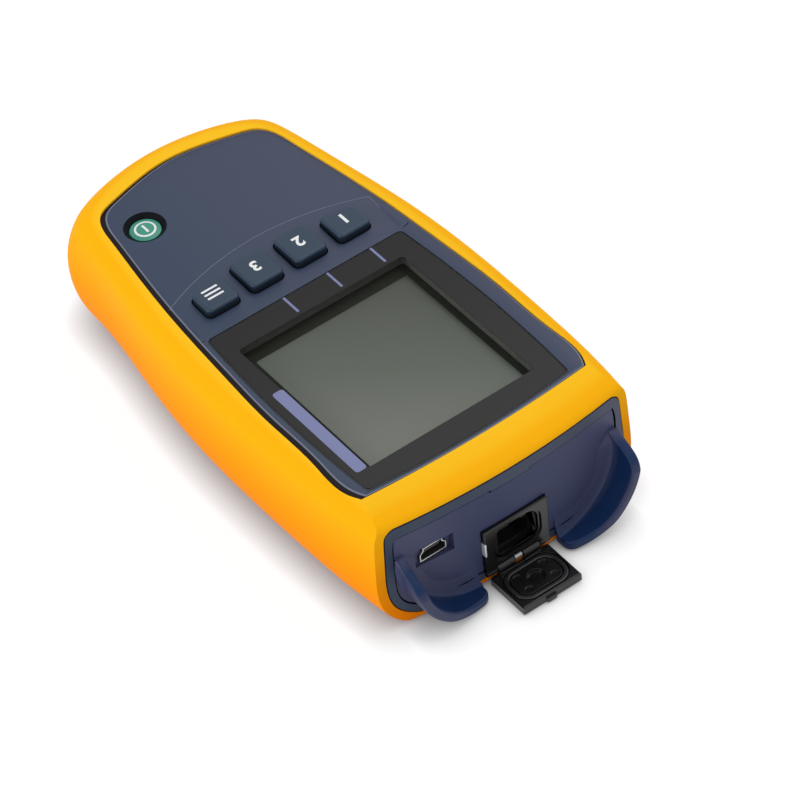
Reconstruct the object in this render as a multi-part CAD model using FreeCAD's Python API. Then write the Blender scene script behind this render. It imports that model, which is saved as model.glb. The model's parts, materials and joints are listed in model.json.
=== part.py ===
import FreeCAD, Part
import math
import os

os.makedirs("parts", exist_ok=True)

V = FreeCAD.Vector

# Handheld optical power meter in a rubber holster, millimetres.
# X runs across the face, -Y points out of the connector end, +Z out of the display face.
# Measures run from the middle of the body in plan, with the back of the holster on z = 0. At the end everything
# moves along Y so that the origin lies under the middle of the whole meter with its dust door open.

# Skins and fits
HOLSTER_WALL = 2.5
SKIN_GAP = 0.3
SHELL_WALL = 2.1
FIT = 0.2
CURVED_FIT = 0.3
CASE_SKIN = HOLSTER_WALL + SKIN_GAP + SHELL_WALL
RUN_OUT = 12.0
SECTION_STEP = 0.4
# Cutting blocks run on this far
PAST = 130.0

# Battery bay in the back
CELL_RADIUS = 7.25
CELL_LENGTH = 50.5
CELL_NUB_RADIUS = 2.7
CELL_NUB = 1.4
CELL_SIDE_GAP = 0.7
CELL_FLOOR_GAP = 1.15
CELL_ROOF_GAP = 0.95
CONTACT_THICK = 0.4
SPRING_REACH = 5.3
SPRING_RADIUS = 2.8
SPRING_WIRE = 0.5
CELL_PITCH = 2.0 * CELL_RADIUS + CELL_SIDE_GAP
BAY_HALF = CELL_PITCH + 1.0
BAY_NEAR = -14.0
BAY_FAR = BAY_NEAR + 2.0 * CONTACT_THICK + SPRING_REACH + CELL_LENGTH + CELL_NUB
BAY_WALL = 1.4
DOOR_PLATE_HALF = BAY_HALF + BAY_WALL
DOOR_PLATE_NEAR = BAY_NEAR - 7.5
DOOR_PLATE_FAR = BAY_FAR + 3.0
DOOR_PLATE_THICK = 1.8
DOOR_PLATE_CORNER = 3.0
BACK_WINDOW_MARGIN = 2.0
BACK_PAD_MARGIN = 1.6
BACK_PAD_THICK = 3.6
LATCH_SCREW_HEAD = 2.6
LATCH_SCREW_Y = BAY_NEAR - 4.0
LATCH_SCREW_DEPTH = 1.0
LATCH_SCREW_LENGTH = 5.0
LATCH_BOSS_RADIUS = 3.4
LATCH_BOSS_HEIGHT = 7.2

# Stack through the thickness, from the back of the case to the top of the holster
BOARD_THICK = 1.6
BEZEL_GAP = 0.2
BEZEL_DEPTH = 6.6
CEILING_GAP = 0.1
HOLSTER_PROUD = 0.6
TRAY_DEPTH = 0.9
WINDOW_THICK = 1.3
BACK_Z = HOLSTER_WALL + SKIN_GAP
PLATE_Z = BACK_Z + DOOR_PLATE_THICK
CELL_Z = PLATE_Z + CELL_FLOOR_GAP + CELL_RADIUS
BAY_TOP = CELL_Z + CELL_RADIUS + CELL_ROOF_GAP
BOARD_BOTTOM = BAY_TOP + BAY_WALL
BEZEL_BOTTOM = BOARD_BOTTOM + BOARD_THICK + BEZEL_GAP
LCD_TOP = BEZEL_BOTTOM + BEZEL_DEPTH
CASE_CEILING = LCD_TOP + CEILING_GAP
BODY_TOP = CASE_CEILING + CASE_SKIN
FACE_TOP = BODY_TOP - HOLSTER_PROUD
WINDOW_TOP = FACE_TOP - TRAY_DEPTH
SEAT_Z = WINDOW_TOP - WINDOW_THICK
TRAY_CUT_TOP = FACE_TOP + 2.6
PART_LINE = 17.3

# Overall body
HALF_WIDTH = 40.2
HALF_LENGTH = 73.9
END_Y = -HALF_LENGTH
END_BULGE = 3.2
BACK_RADIUS = 14.0
NEAR_BROW_Y = END_Y + 11.3
NEAR_FOOT_Y = END_Y + 2.2
SHOULDER = HALF_WIDTH - 8.6
# Half width of the body along its length, from the connector end to the far corners
PLAN_SIDE = [(HALF_WIDTH - 2.6, END_Y + END_BULGE), (HALF_WIDTH - 1.3, END_Y + 13.9), (HALF_WIDTH - 0.4, END_Y + 28.9),
             (HALF_WIDTH, -25.0), (HALF_WIDTH - 0.2, -5.0), (HALF_WIDTH - 1.4, 12.0), (HALF_WIDTH - 3.8, 30.0),
             (HALF_WIDTH - 6.2, HALF_LENGTH - 28.9), (SHOULDER, HALF_LENGTH - 15.9)]
# The round far end: share of the shoulder's half width, and distance in from the apex
FAR_CAP = [(0.905, 8.7), (0.76, 5.3), (0.6, 3.2), (0.41, 1.5), (0.206, 0.4), (0.0, 0.0)]
# The far end spreads outwards below the top edge
FAR_FLARE = 3.5
FLARE_START_Y = HALF_LENGTH - 28.9
FLARE_FULL_Y = HALF_LENGTH - 7.9
FLARE_START_Z = BODY_TOP - 1.0
FLARE_FULL_Z = BODY_TOP - 12.0

# Face
FACE_WALL = 2.0
FACE_NEAR_Y = NEAR_BROW_Y
FACE_FAR_Y = HALF_LENGTH - 8.3
FACE_OPENING = [(HALF_WIDTH - 7.2, END_Y + 12.9), (HALF_WIDTH - 5.7, END_Y + 16.4), (HALF_WIDTH - 5.5, END_Y + 28.9),
                (HALF_WIDTH - 5.6, -25.0), (HALF_WIDTH - 6.2, -12.0), (HALF_WIDTH - 7.0, 0.0), (HALF_WIDTH - 7.9, 12.0),
                (HALF_WIDTH - 11.0, HALF_LENGTH - 35.9), (HALF_WIDTH - 12.8, HALF_LENGTH - 23.9),
                (HALF_WIDTH - 14.0, HALF_LENGTH - 17.9), (HALF_WIDTH - 16.2, HALF_LENGTH - 14.3),
                (0.6 * SHOULDER, HALF_LENGTH - 12.0), (0.316 * SHOULDER, HALF_LENGTH - 9.6)]

# Display
WINDOW_FAR = (HALF_WIDTH - 11.3, 6.8)
WINDOW_SIDE = (HALF_WIDTH - 9.6, -28.0)
WINDOW_NEAR = (HALF_WIDTH - 10.7, END_Y + 15.4)
WINDOW_NEAR_Y = END_Y + 13.6
WINDOW_CORNER = 1.2
TRAY_SLOPE = 2.9
TRAY_FAR_SLOPE = 2.2
TRAY_RIM = 0.7
ARC_END = (HALF_WIDTH - 10.2, 21.0)
ARC_TOP_Y = 28.0
LCD_HALF = HALF_WIDTH - 17.4
LCD_NEAR_Y = END_Y + 23.3
LCD_FAR_Y = WINDOW_FAR[1] - 10.7
LCD_THICK = 1.9
LIGHT_HALF = LCD_HALF + 1.8
LIGHT_NEAR_Y = LCD_NEAR_Y - 1.0
LIGHT_FAR_Y = LCD_FAR_Y + 4.2
LIGHT_CORNER = 1.0
GLASS_MARGIN = 1.2
BEZEL_WALL = 1.4
BEZEL_FLOOR = 1.2

# Keys
KEY_PITCH = 13.1
KEY_HALF = 4.75
KEY_NEAR_Y = 12.2
KEY_FAR_Y = 23.0
KEY_OUTER_NEAR_FAR = 21.9
KEY_OUTER_FAR_FAR = 20.0
KEY_RISE = 1.7
KEY_TOP_RADIUS = 0.8
KEY_CORNER = 1.5
KEY_GAP = 0.35
KEY_FLANGE = 0.9
KEY_FLANGE_THICK = 0.9
KEY_STEM = 3.0
KEY_TRAVEL = 0.8

# Power button
POWER_X = -17.9
POWER_Y = HALF_LENGTH - 24.7
POWER_RADIUS = 3.95
POWER_WELL_RADIUS = 5.45
POWER_WELL_DEPTH = 1.1
POWER_TOP = FACE_TOP - 0.5
POWER_DOME = 0.5

# Keypad stack
KEY_BOARD_DROP = 6.8
KEY_BOARD_THICK = 1.2
KEY_BOARD_FAR_Y = HALF_LENGTH - 15.9
MAT_THICK = 0.6
MAT_BUMP = 0.5
SWITCH_RADIUS = 2.4
SWITCH_HEIGHT = 0.3
KEY_BOARD_TOP = FACE_TOP - KEY_BOARD_DROP
MAT_BOTTOM = KEY_BOARD_TOP + SWITCH_HEIGHT + 0.1
KEY_POST_RADIUS = 1.6
KEY_POSTS = [(27.4, 10.6), (15.0, 30.0)]

# Main board and the screws of the case
BOARD_MARGIN = 3.4
BOARD_NEAR_Y = END_Y + 7.9
BOARD_FAR_Y = HALF_LENGTH - 11.9
BOARD_POSTS = [(HALF_WIDTH - 14.7, -32.0), (HALF_WIDTH - 15.2, 24.0)]
POST_RADIUS = 2.6
SCREW_BOSSES = [(HALF_WIDTH - 9.6, END_Y + 23.9), (HALF_WIDTH - 17.7, HALF_LENGTH - 34.4)]
BOSS_RADIUS = 3.0
SCREW_SEAT = 8.0
SCREW_RADIUS = 1.2
SCREW_HEAD_RADIUS = 2.3
SCREW_HEAD_HEIGHT = 1.6
SCREW_LENGTH = 20.0

# Fibre port
FRAME_HALF = 9.4
FRAME_BOTTOM = 4.9
FRAME_TOP = 18.3
FRAME_FRONT = END_Y - 0.7
FRAME_THICK = 3.4
FRAME_BACK = END_Y + 3.9
FRAME_FLANGE = 0.7
FRAME_EDGE = 0.5
PORT_HALF = 6.5
PORT_BOTTOM = 6.7
PORT_TOP = 16.5
PORT_CORNER = 3.2
PORT_LIP = 0.5
PORT_LIP_WIDTH = 0.7
SOCKET_DEPTH = 15.0
SOCKET_INNER_HALF = 4.9
SOCKET_INNER_BOTTOM = 8.6
SOCKET_INNER_TOP = 15.2
KEYWAY_HALF = 1.7
KEYWAY_DEPTH = 0.8
FERRULE_HALF = 3.2
FERRULE_HEIGHT = 2.6
FERRULE_REACH = 4.0
GUIDE_PIN_RADIUS = 0.35
GUIDE_PIN_X = 2.3
DETECTOR_HALF = 6.0
DETECTOR_CAN_RADIUS = 4.2
CLIP_HEIGHT = 4.0
CLIP_WRAP = 0.35
CLIP_PROUD = 0.1
CLIP_Z = 12.6

# Connector end panel and its two guards
RIM_DEPTH = 0.9
RIM_BACK_Y = END_Y + 9.9
PANEL_TOP = CASE_CEILING - RIM_DEPTH
PANEL_THICK = 2.6
PANEL_SET_BACK = 0.25
PANEL_GAP = 0.4
NOTCH_HALF = 5.7
NOTCH_DROP = 0.5
GUARD_CENTRE_X = HALF_WIDTH - 27.2
GUARD_CENTRE_Z = 20.5
GUARD_RADIUS = 20.0
GUARD_WALL = 2.6
GUARD_TOP_Z = 23.7
GUARD_SHOULDER = (END_Y - 4.1, 20.4)
GUARD_BROW = (END_Y - 6.4, 18.2)
GUARD_FRONT_Z = 14.2
GUARD_FRONT_Y = END_Y - 7.4
GUARD_FOOT_Y = END_Y - 7.2
GUARD_BEND_X = HALF_WIDTH - 16.2
GUARD_INNER_X = FRAME_HALF + 2.1
GUARD_INNER_Y = END_Y - 4.7
GUARD_INNER_RADIUS = 2.8
GUARD_BEND_RADIUS = 12.0
GUARD_EDGE = 0.7
GUARD_ROOT_GAP = 0.35
COVE_WIDE = 8.5
COVE_DEEP = 2.2
COVE_FADE = 0.2

# Mini USB socket
USB_X = 18.1 - HALF_WIDTH
USB_Z = 20.4
USB_WIDTH = 7.7
USB_HEIGHT = 3.9
USB_DEPTH = 9.0
USB_SHELL = 0.35
USB_STEP = 0.95
USB_RECESS_W = 10.6
USB_RECESS_H = 5.4
USB_RECESS_DEPTH = 1.3
USB_STAND = 0.7

# Dust door, lying open
HINGE_Y = END_Y + 0.3
HINGE_Z = 4.0
BARREL_RADIUS = 1.1
PIN_RADIUS = 0.5
COIL_RADIUS = 0.9
LUG_OUTER = 9.2
LUG_INNER = 6.3
KNUCKLE_INNER = 1.35
DOOR_HALF = 8.6
DOOR_REAR = END_Y - 0.55
DOOR_TIP = END_Y - 13.3
DOOR_TOP = 2.7
DOOR_THICK = 2.3
DOOR_CHAMFER = 0.3
DOOR_TAB_X = -0.5
DOOR_TAB_HALF = 1.6
DOOR_TAB_REACH = 0.6
DOOR_TAB_THICK = 1.2
GASKET_HALF_X = 7.7
GASKET_HALF_Y = 5.3
GASKET_Y = END_Y - 7.0
GASKET_CORNER = 4.2
GASKET_WIDTH = 1.2
GASKET_PROUD = 0.15
GASKET_DEPTH = 0.7
GASKET_GROOVE = 0.3
DIMPLE_RADIUS = 1.1
DIMPLE_DEPTH = 0.35
DIMPLE_X = 3.8
DIMPLE_Y = 2.3
RECESS_RADIUS = 2.3
RECESS_DEPTH = 1.0


def box(x0, x1, y0, y1, z0, z1):
    return Part.makeBox(x1 - x0, y1 - y0, z1 - z0, V(x0, y0, z0))


def cyl(radius, height, x, y, z, direction=V(0, 0, 1)):
    return Part.makeCylinder(radius, height, V(x, y, z), direction)


def spline(points):
    curve = Part.BSplineCurve()
    curve.interpolate(points)
    return curve.toShape()


def fuse(shapes):
    out = shapes[0]
    for extra in shapes[1:]:
        out = out.fuse(extra)
    return out.removeSplitter()


def prism(face, z0, z1):
    face.translate(V(0, 0, z0))
    return face.extrude(V(0, 0, z1 - z0))


def mirror_x(shape):
    return shape.mirror(V(0, 0, 0), V(1, 0, 0))


def rounded(x0, x1, y0, y1, radius, z0, z1):
    solid = box(x0, x1, y0, y1, z0, z1)
    upright = [e for e in solid.Edges if abs(e.tangentAt(0.0).z) > 0.9]
    return solid.makeFillet(radius, upright)


def rounded_port(x0, x1, z0, z1, radius, y0, y1):
    solid = box(x0, x1, y0, y1, z0, z1)
    along = [e for e in solid.Edges if abs(e.tangentAt(0.0).y) > 0.9]
    return solid.makeFillet(radius, along)


def share(value, start, full):
    return min(max((value - start) / (full - start), 0.0), 1.0)


# Widest plan of the body at a height, from the connector end to the far apex, with the far end's flare
def plan_at(z):
    plan = PLAN_SIDE + [(part * SHOULDER, HALF_LENGTH - drop) for part, drop in FAR_CAP]
    spread = FAR_FLARE * share(z, FLARE_START_Z, FLARE_FULL_Z)
    flared = []
    for i, (x, y) in enumerate(plan):
        x0, y0 = plan[max(i - 1, 0)]
        x1, y1 = plan[i + 1] if i + 1 < len(plan) else (-x0, y0)
        run = math.hypot(x1 - x0, y1 - y0)
        push = spread * share(y, FLARE_START_Y, FLARE_FULL_Y) ** 2
        flared.append((x + push * (y1 - y0) / run, y + push * (x0 - x1) / run))
    return flared


# Body skins: the same plan outline drawn smaller at each height and lofted.
# An open skin runs on past the connector end along the line of its sides.
def outline(inset, near_inset, z):
    across = 1.0 - inset / HALF_WIDTH
    far = 1.0 - inset / HALF_LENGTH
    near = 1.0 - max(near_inset, 0.0) / HALF_LENGTH
    plan = plan_at(z)
    if near_inset < 0:
        (x0, y0), (x1, y1) = PLAN_SIDE[:2]
        plan = [(x0 + near_inset * (x1 - x0) / (y1 - y0), y0 + near_inset)] + plan
    half = [V(x * across, y * (far if y > 0 else near), z) for x, y in plan]
    other = [V(-p.x, p.y, z) for p in reversed(half[:-1])]
    side = spline(half + other)
    start, end = half[0], other[-1]
    bulge = END_BULGE * near
    steps = 4
    arc = []
    for i in range(steps + 1):
        x = end.x + (start.x - end.x) * i / steps
        arc.append(V(x, end.y - bulge * (1.0 - (x / start.x) ** 2), z))
    return Part.Wire([side, spline(arc)])


# Section of the body side: distance in from the widest outline, height, and inward normal
def section_points():
    points = []
    for degrees in (0, 14, 28, 44, 62, 90):
        turn = math.radians(degrees)
        inset = BACK_RADIUS * (1.0 - math.sin(turn))
        height = BACK_RADIUS * (1.0 - math.cos(turn))
        points.append((inset, height, math.sin(turn), math.cos(turn)))
    points.append((0.1, BODY_TOP - 14.0, 1.0, 0.0))
    points.append((0.5, BODY_TOP - 6.5, 1.0, -0.06))
    points.append((1.1, BODY_TOP - 3.4, 0.94, -0.34))
    points.append((2.3, BODY_TOP - 1.6, 0.71, -0.71))
    points.append((4.0, BODY_TOP - 0.5, 0.4, -0.92))
    points.append((6.2, BODY_TOP, 0.0, -1.0))
    return points


# The skin offset inwards by a thickness. Where the offset crowds together under the top edge, sections are skipped
def skin(thickness, near_inset=-RUN_OUT):
    points = section_points()
    ceiling = BODY_TOP - thickness
    wires = []
    last = -1.0
    for inset, height, nx, nz in points:
        z = height + thickness * nz
        topmost = nz == -1.0
        if topmost or z - last > SECTION_STEP and ceiling - z > SECTION_STEP:
            wires.append(outline(inset + thickness * nx, near_inset, z))
            last = z
    return Part.makeLoft(wires, True, False)


# What the bowed connector end leaves free in front of it: a profile turned about the bow's own centre
def near_brow():
    top = [(0.2, 3.8), (0.8, 1.8), (3.3, 0.7), (7.1, 0.2), (NEAR_BROW_Y - END_Y, 0.0)]
    foot = [(NEAR_FOOT_Y - END_Y, 0.0), (0.6, 0.9), (0.0, 2.8)]
    top_line = [V(0, END_Y + y, BODY_TOP - drop) for y, drop in top]
    foot_line = [V(0, END_Y + y, z) for y, z in foot]
    high, low = BODY_TOP + 4.0, -4.0
    front = END_Y - 21.0
    out = [V(0, NEAR_BROW_Y, high), V(0, front, high), V(0, front, low), V(0, NEAR_FOOT_Y, low)]
    rim = [top_line[-1]] + out + [foot_line[0]]
    edges = [spline(top_line)] + [Part.makeLine(rim[i], rim[i + 1]) for i in range(len(rim) - 1)]
    edges += [spline(foot_line), Part.makeLine(foot_line[-1], top_line[0])]
    radius = (PLAN_SIDE[0][0] ** 2 + END_BULGE ** 2) / (2.0 * END_BULGE)
    centre = V(0, radius + END_Y, 0)
    face = Part.Face(Part.Wire(edges))
    sweep = 26.0
    face.rotate(centre, V(0, 0, 1), -sweep / 2.0)
    return face.revolve(centre, V(0, 0, 1), sweep)


def face_outline(inset, z0, z1):
    points = [V((x - inset), y - inset * (y / HALF_LENGTH), 0) for x, y in FACE_OPENING]
    far_apex = V(0, FACE_FAR_Y - inset, 0)
    mirrored = [V(-p.x, p.y, 0) for p in reversed(points)]
    side = spline(points + [far_apex] + mirrored)
    near = Part.Arc(mirrored[-1], V(0, FACE_NEAR_Y + inset, 0), points[0]).toShape()
    return prism(Part.Face(Part.Wire([side, near])), z0, z1)


# A slab that follows the bowed connector end, between two distances in from its face
def end_slab(front_offset, back_offset):
    half = HALF_WIDTH + 5.0
    sag = END_BULGE * (half / PLAN_SIDE[0][0]) ** 2

    def arc(offset):
        corner = END_Y + sag + offset
        return Part.Arc(V(-half, corner, 0), V(0, END_Y + offset, 0), V(half, corner, 0)).toShape()

    def side(x):
        return Part.makeLine(V(x, END_Y + sag + front_offset, 0), V(x, END_Y + sag + back_offset, 0))

    face = Part.Face(Part.Wire([arc(front_offset), side(half), arc(back_offset), side(-half)]))
    return prism(face, -5.0, BODY_TOP + 5.0)


def window_outline(grow_side, grow_near, grow_far, z):
    a = V(WINDOW_FAR[0] + grow_side, WINDOW_FAR[1] + grow_far, z)
    b = V(WINDOW_SIDE[0] + grow_side, WINDOW_SIDE[1], z)
    c = V(WINDOW_NEAR[0] + grow_side, WINDOW_NEAR[1] - grow_near, z)
    left = [V(-p.x, p.y, z) for p in (a, b, c)]
    near = Part.Arc(c, V(0, WINDOW_NEAR_Y - grow_near, z), left[2]).toShape()
    edges = [Part.makeLine(left[0], a), Part.Arc(a, b, c).toShape(), near]
    edges.append(Part.Arc(left[2], left[1], left[0]).toShape())
    return Part.Wire(edges)


def window_prism(grow, z0, z1, corner):
    solid = Part.Face(window_outline(grow, grow, grow, z0)).extrude(V(0, 0, z1 - z0))
    upright = [e for e in solid.Edges if abs(e.tangentAt(0.0).z) > 0.9]
    return solid.makeFillet(corner, upright)


# Holster
holster = skin(0.0).cut(near_brow())
shell_space = skin(HOLSTER_WALL)
holster = holster.cut(shell_space)
holster = holster.cut(face_outline(0.0, FACE_TOP - 4.0, BODY_TOP + 1.0))
back_window = rounded(-DOOR_PLATE_HALF - BACK_WINDOW_MARGIN, DOOR_PLATE_HALF + BACK_WINDOW_MARGIN,
                      DOOR_PLATE_NEAR - BACK_WINDOW_MARGIN, DOOR_PLATE_FAR + BACK_WINDOW_MARGIN,
                      DOOR_PLATE_CORNER + BACK_WINDOW_MARGIN, -1.0, HOLSTER_WALL + 1.0)
holster = holster.cut(back_window)

# Case: one hollow skin with a raised face land, split at the part line
case_out = skin(HOLSTER_WALL + SKIN_GAP).cut(end_slab(-2.0 * RUN_OUT, 0.0))
case_out = case_out.fuse(face_outline(CURVED_FIT, PART_LINE + 6.0, FACE_TOP))
case_in = skin(CASE_SKIN)
case_in = case_in.cut(box(-PAST, PAST, -PAST, RIM_BACK_Y, PANEL_TOP, PAST))
case_in = case_in.cut(box(-NOTCH_HALF, NOTCH_HALF, -PAST, RIM_BACK_Y, PANEL_TOP - NOTCH_DROP, PAST))
key_room_near = WINDOW_FAR[1] + 1.4
key_room = face_outline(3.2, PART_LINE + 6.0, FACE_TOP - FACE_WALL)
key_room = key_room.common(box(-PAST, PAST, key_room_near, PAST, 0, PAST))
front_half = box(-PAST, PAST, -PAST, PAST, PART_LINE, PAST)
rear_half = box(-PAST, PAST, -PAST, PAST, -5, PART_LINE)
front_shell = case_out.cut(case_in).cut(key_room).common(front_half)
rear_shell = case_out.cut(case_in).common(rear_half)

# Display seat and the light opening under it
front_shell = front_shell.cut(window_prism(FIT, SEAT_Z, FACE_TOP + 2.0, WINDOW_CORNER + FIT))
front_shell = front_shell.cut(rounded(-LIGHT_HALF, LIGHT_HALF, LIGHT_NEAR_Y, LIGHT_FAR_Y, LIGHT_CORNER,
                                      CASE_CEILING - 1.0, FACE_TOP))


# Sloping tray around the display: a shallow pocket that runs out to nothing along a curved line behind the keys
edge_y = WINDOW_FAR[1] + FIT


def slope_section(y):
    along = (y - edge_y) / (ARC_END[1] - edge_y)
    floor_half = WINDOW_FAR[0] + FIT + along * (ARC_END[0] - WINDOW_FAR[0] - FIT)
    side_z = WINDOW_TOP + TRAY_DEPTH * along
    middle_z = WINDOW_TOP + TRAY_DEPTH * (y - edge_y) / (ARC_TOP_Y - edge_y)
    run = TRAY_FAR_SLOPE * (TRAY_CUT_TOP - side_z) / TRAY_DEPTH * max(1.0 - 0.4 * along, 0.1)
    rows = [(-1.0, side_z), (-0.5, middle_z + 0.25 * (side_z - middle_z)), (0.0, middle_z),
            (0.5, middle_z + 0.25 * (side_z - middle_z)), (1.0, side_z)]
    floor = spline([V(k * floor_half, y, z) for k, z in rows])
    b = V(floor_half, y, side_z)
    c = V(floor_half + run, y, TRAY_CUT_TOP)
    across = Part.makeLine(c, V(-c.x, y, c.z))
    return Part.Wire([floor, Part.makeLine(b, c), across, Part.makeLine(V(-c.x, y, c.z), V(-b.x, y, b.z))])


ramp = Part.makeLoft([slope_section(edge_y), slope_section(ARC_TOP_Y + 4.0)], True, True)
if ramp.Volume < 0:
    ramp.reverse()
front_shell = front_shell.cut(ramp)
lip = 1.5
low_wire = window_outline(FIT, FIT, FIT, WINDOW_TOP)
top_side = FIT + TRAY_SLOPE * (TRAY_DEPTH + lip) / TRAY_DEPTH
top_far = FIT + 0.1
top_near = FIT + TRAY_RIM * (TRAY_DEPTH + lip) / TRAY_DEPTH
high_wire = window_outline(top_side, top_near, top_far, FACE_TOP + lip)
dish = Part.makeLoft([low_wire, high_wire], True, True)
front_shell = front_shell.cut(dish)

# Keys: rounded caps with a flange under the face and a stem down to the keypad
key_plans = {
    "menu_key": (-1.5, KEY_OUTER_FAR_FAR, KEY_OUTER_NEAR_FAR),
    "function_key_3": (-0.5, KEY_FAR_Y, KEY_FAR_Y),
    "function_key_2": (0.5, KEY_FAR_Y, KEY_FAR_Y),
    "function_key_1": (1.5, KEY_OUTER_NEAR_FAR, KEY_OUTER_FAR_FAR),
}


def key_prism(plan, grow, z0, z1, corner):
    slot, far_left, far_right = plan
    x = slot * KEY_PITCH
    half = KEY_HALF + grow
    near = KEY_NEAR_Y - grow
    corners = [V(x - half, near, z0), V(x + half, near, z0), V(x + half, far_right + grow, z0),
               V(x - half, far_left + grow, z0)]
    solid = Part.Face(Part.makePolygon(corners + [corners[0]])).extrude(V(0, 0, z1 - z0))
    upright = [e for e in solid.Edges if abs(e.tangentAt(0.0).z) > 0.9]
    return solid.makeFillet(corner, upright)


key_top = FACE_TOP + KEY_RISE
flange_top = FACE_TOP - FACE_WALL - 0.1
stem_bottom = MAT_BOTTOM + MAT_THICK + MAT_BUMP + KEY_TRAVEL + 0.2
key_middle = (KEY_NEAR_Y + KEY_OUTER_FAR_FAR) / 2.0
keys = {}
for name, plan in key_plans.items():
    front_shell = front_shell.cut(key_prism(plan, KEY_GAP, SEAT_Z - 1.0, FACE_TOP + 2.0, KEY_CORNER + KEY_GAP))
    cap = key_prism(plan, 0.0, flange_top - 0.2, key_top, KEY_CORNER)
    rim = [e for e in cap.Edges if abs(e.CenterOfMass.z - key_top) < 0.01]
    cap = cap.makeFillet(KEY_TOP_RADIUS, rim)
    key_flange = key_prism(plan, KEY_FLANGE, flange_top - KEY_FLANGE_THICK, flange_top, KEY_CORNER + KEY_FLANGE)
    stem = cyl(KEY_STEM, flange_top - stem_bottom, plan[0] * KEY_PITCH, key_middle, stem_bottom)
    keys[name] = fuse([cap, key_flange, stem])

# Round power button in a coned well
well = Part.makeCone(POWER_RADIUS + CURVED_FIT, POWER_WELL_RADIUS, POWER_WELL_DEPTH,
                     V(POWER_X, POWER_Y, FACE_TOP - POWER_WELL_DEPTH))
front_shell = front_shell.cut(well)
front_shell = front_shell.cut(cyl(POWER_RADIUS + CURVED_FIT, 10.0, POWER_X, POWER_Y, FACE_TOP - 8.0))
dome_radius = (POWER_RADIUS ** 2 + POWER_DOME ** 2) / (2 * POWER_DOME)
power_body = cyl(POWER_RADIUS, POWER_TOP - flange_top + 0.2, POWER_X, POWER_Y, flange_top - 0.2)
power_body = power_body.common(Part.makeSphere(dome_radius, V(POWER_X, POWER_Y, POWER_TOP - dome_radius)))
power_flange = cyl(POWER_RADIUS + KEY_FLANGE, KEY_FLANGE_THICK, POWER_X, POWER_Y, flange_top - KEY_FLANGE_THICK)
power_stem = cyl(KEY_STEM - 0.6, flange_top - stem_bottom, POWER_X, POWER_Y, stem_bottom)
power_button = fuse([power_body, power_flange, power_stem])

# Keypad: rubber mat with bumps over a switch board
board_plan = face_outline(4.4, KEY_BOARD_TOP - KEY_BOARD_THICK, MAT_BOTTOM + MAT_THICK)
key_stack = board_plan.common(box(-PAST, PAST, key_room_near + 0.8, KEY_BOARD_FAR_Y, 0, PAST))
key_board = key_stack.common(box(-PAST, PAST, -PAST, PAST, KEY_BOARD_TOP - KEY_BOARD_THICK, KEY_BOARD_TOP))
mat = key_stack.common(box(-PAST, PAST, -PAST, PAST, MAT_BOTTOM, MAT_BOTTOM + MAT_THICK))
spots = [(plan[0] * KEY_PITCH, key_middle) for plan in key_plans.values()] + [(POWER_X, POWER_Y)]
bumps = [cyl(SWITCH_RADIUS, MAT_BUMP, x, y, MAT_BOTTOM + MAT_THICK) for x, y in spots]
key_switches = Part.makeCompound([cyl(SWITCH_RADIUS, SWITCH_HEIGHT, x, y, KEY_BOARD_TOP) for x, y in spots])
keypad_mat = fuse([mat] + bumps)

# Key board posts and case bosses
for x, y in KEY_POSTS:
    for side in (-1, 1):
        post = cyl(KEY_POST_RADIUS, FACE_TOP - FACE_WALL - KEY_BOARD_TOP + 0.6, side * x, y, KEY_BOARD_TOP)
        front_shell = front_shell.fuse(post)
        keypad_mat = keypad_mat.cut(cyl(KEY_POST_RADIUS + CURVED_FIT, 4.0, side * x, y, MAT_BOTTOM - 1.0))
screws = []
boss_holes = []
for x, y in SCREW_BOSSES:
    boss_roof = FACE_TOP - FACE_WALL if y > 0 else CASE_CEILING
    for side in (-1, 1):
        tall = cyl(BOSS_RADIUS, boss_roof + 0.6 - PART_LINE, side * x, y, PART_LINE)
        bore = cyl(SCREW_RADIUS + CURVED_FIT, SCREW_SEAT + SCREW_LENGTH + 0.6, side * x, y, 0.0)
        front_shell = front_shell.fuse(tall).cut(bore)
        foot = cyl(BOSS_RADIUS, PART_LINE, side * x, y, 0.0).common(case_out)
        head_bore = cyl(SCREW_HEAD_RADIUS + CURVED_FIT, SCREW_SEAT, side * x, y, 0.0)
        rear_shell = rear_shell.fuse(foot).cut(bore).cut(head_bore)
        shank = cyl(SCREW_RADIUS, SCREW_LENGTH, side * x, y, SCREW_SEAT)
        head = cyl(SCREW_HEAD_RADIUS, SCREW_HEAD_HEIGHT, side * x, y, SCREW_SEAT - SCREW_HEAD_HEIGHT)
        drive = cyl(1.1, 0.9, side * x, y, SCREW_SEAT - SCREW_HEAD_HEIGHT)
        screws.append(shank.fuse(head).cut(drive).removeSplitter())
        boss_hole = cyl(BOSS_RADIUS + CURVED_FIT, PAST, side * x, y, 0.0)
        boss_holes.append(boss_hole)
        key_board = key_board.cut(boss_hole)
        keypad_mat = keypad_mat.cut(boss_hole)
case_screws = Part.makeCompound(screws)

# Main board on posts from the back half
main_board = skin(HOLSTER_WALL + SKIN_GAP + BOARD_MARGIN, 4.0)
main_board = main_board.common(box(-PAST, PAST, BOARD_NEAR_Y, BOARD_FAR_Y, BOARD_BOTTOM, BOARD_BOTTOM + BOARD_THICK))
for boss_hole in boss_holes:
    main_board = main_board.cut(boss_hole)
for x, y in BOARD_POSTS:
    for side in (-1, 1):
        post = cyl(POST_RADIUS, BOARD_BOTTOM, side * x, y, 0.0).common(case_out)
        rear_shell = rear_shell.fuse(post)

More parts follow.
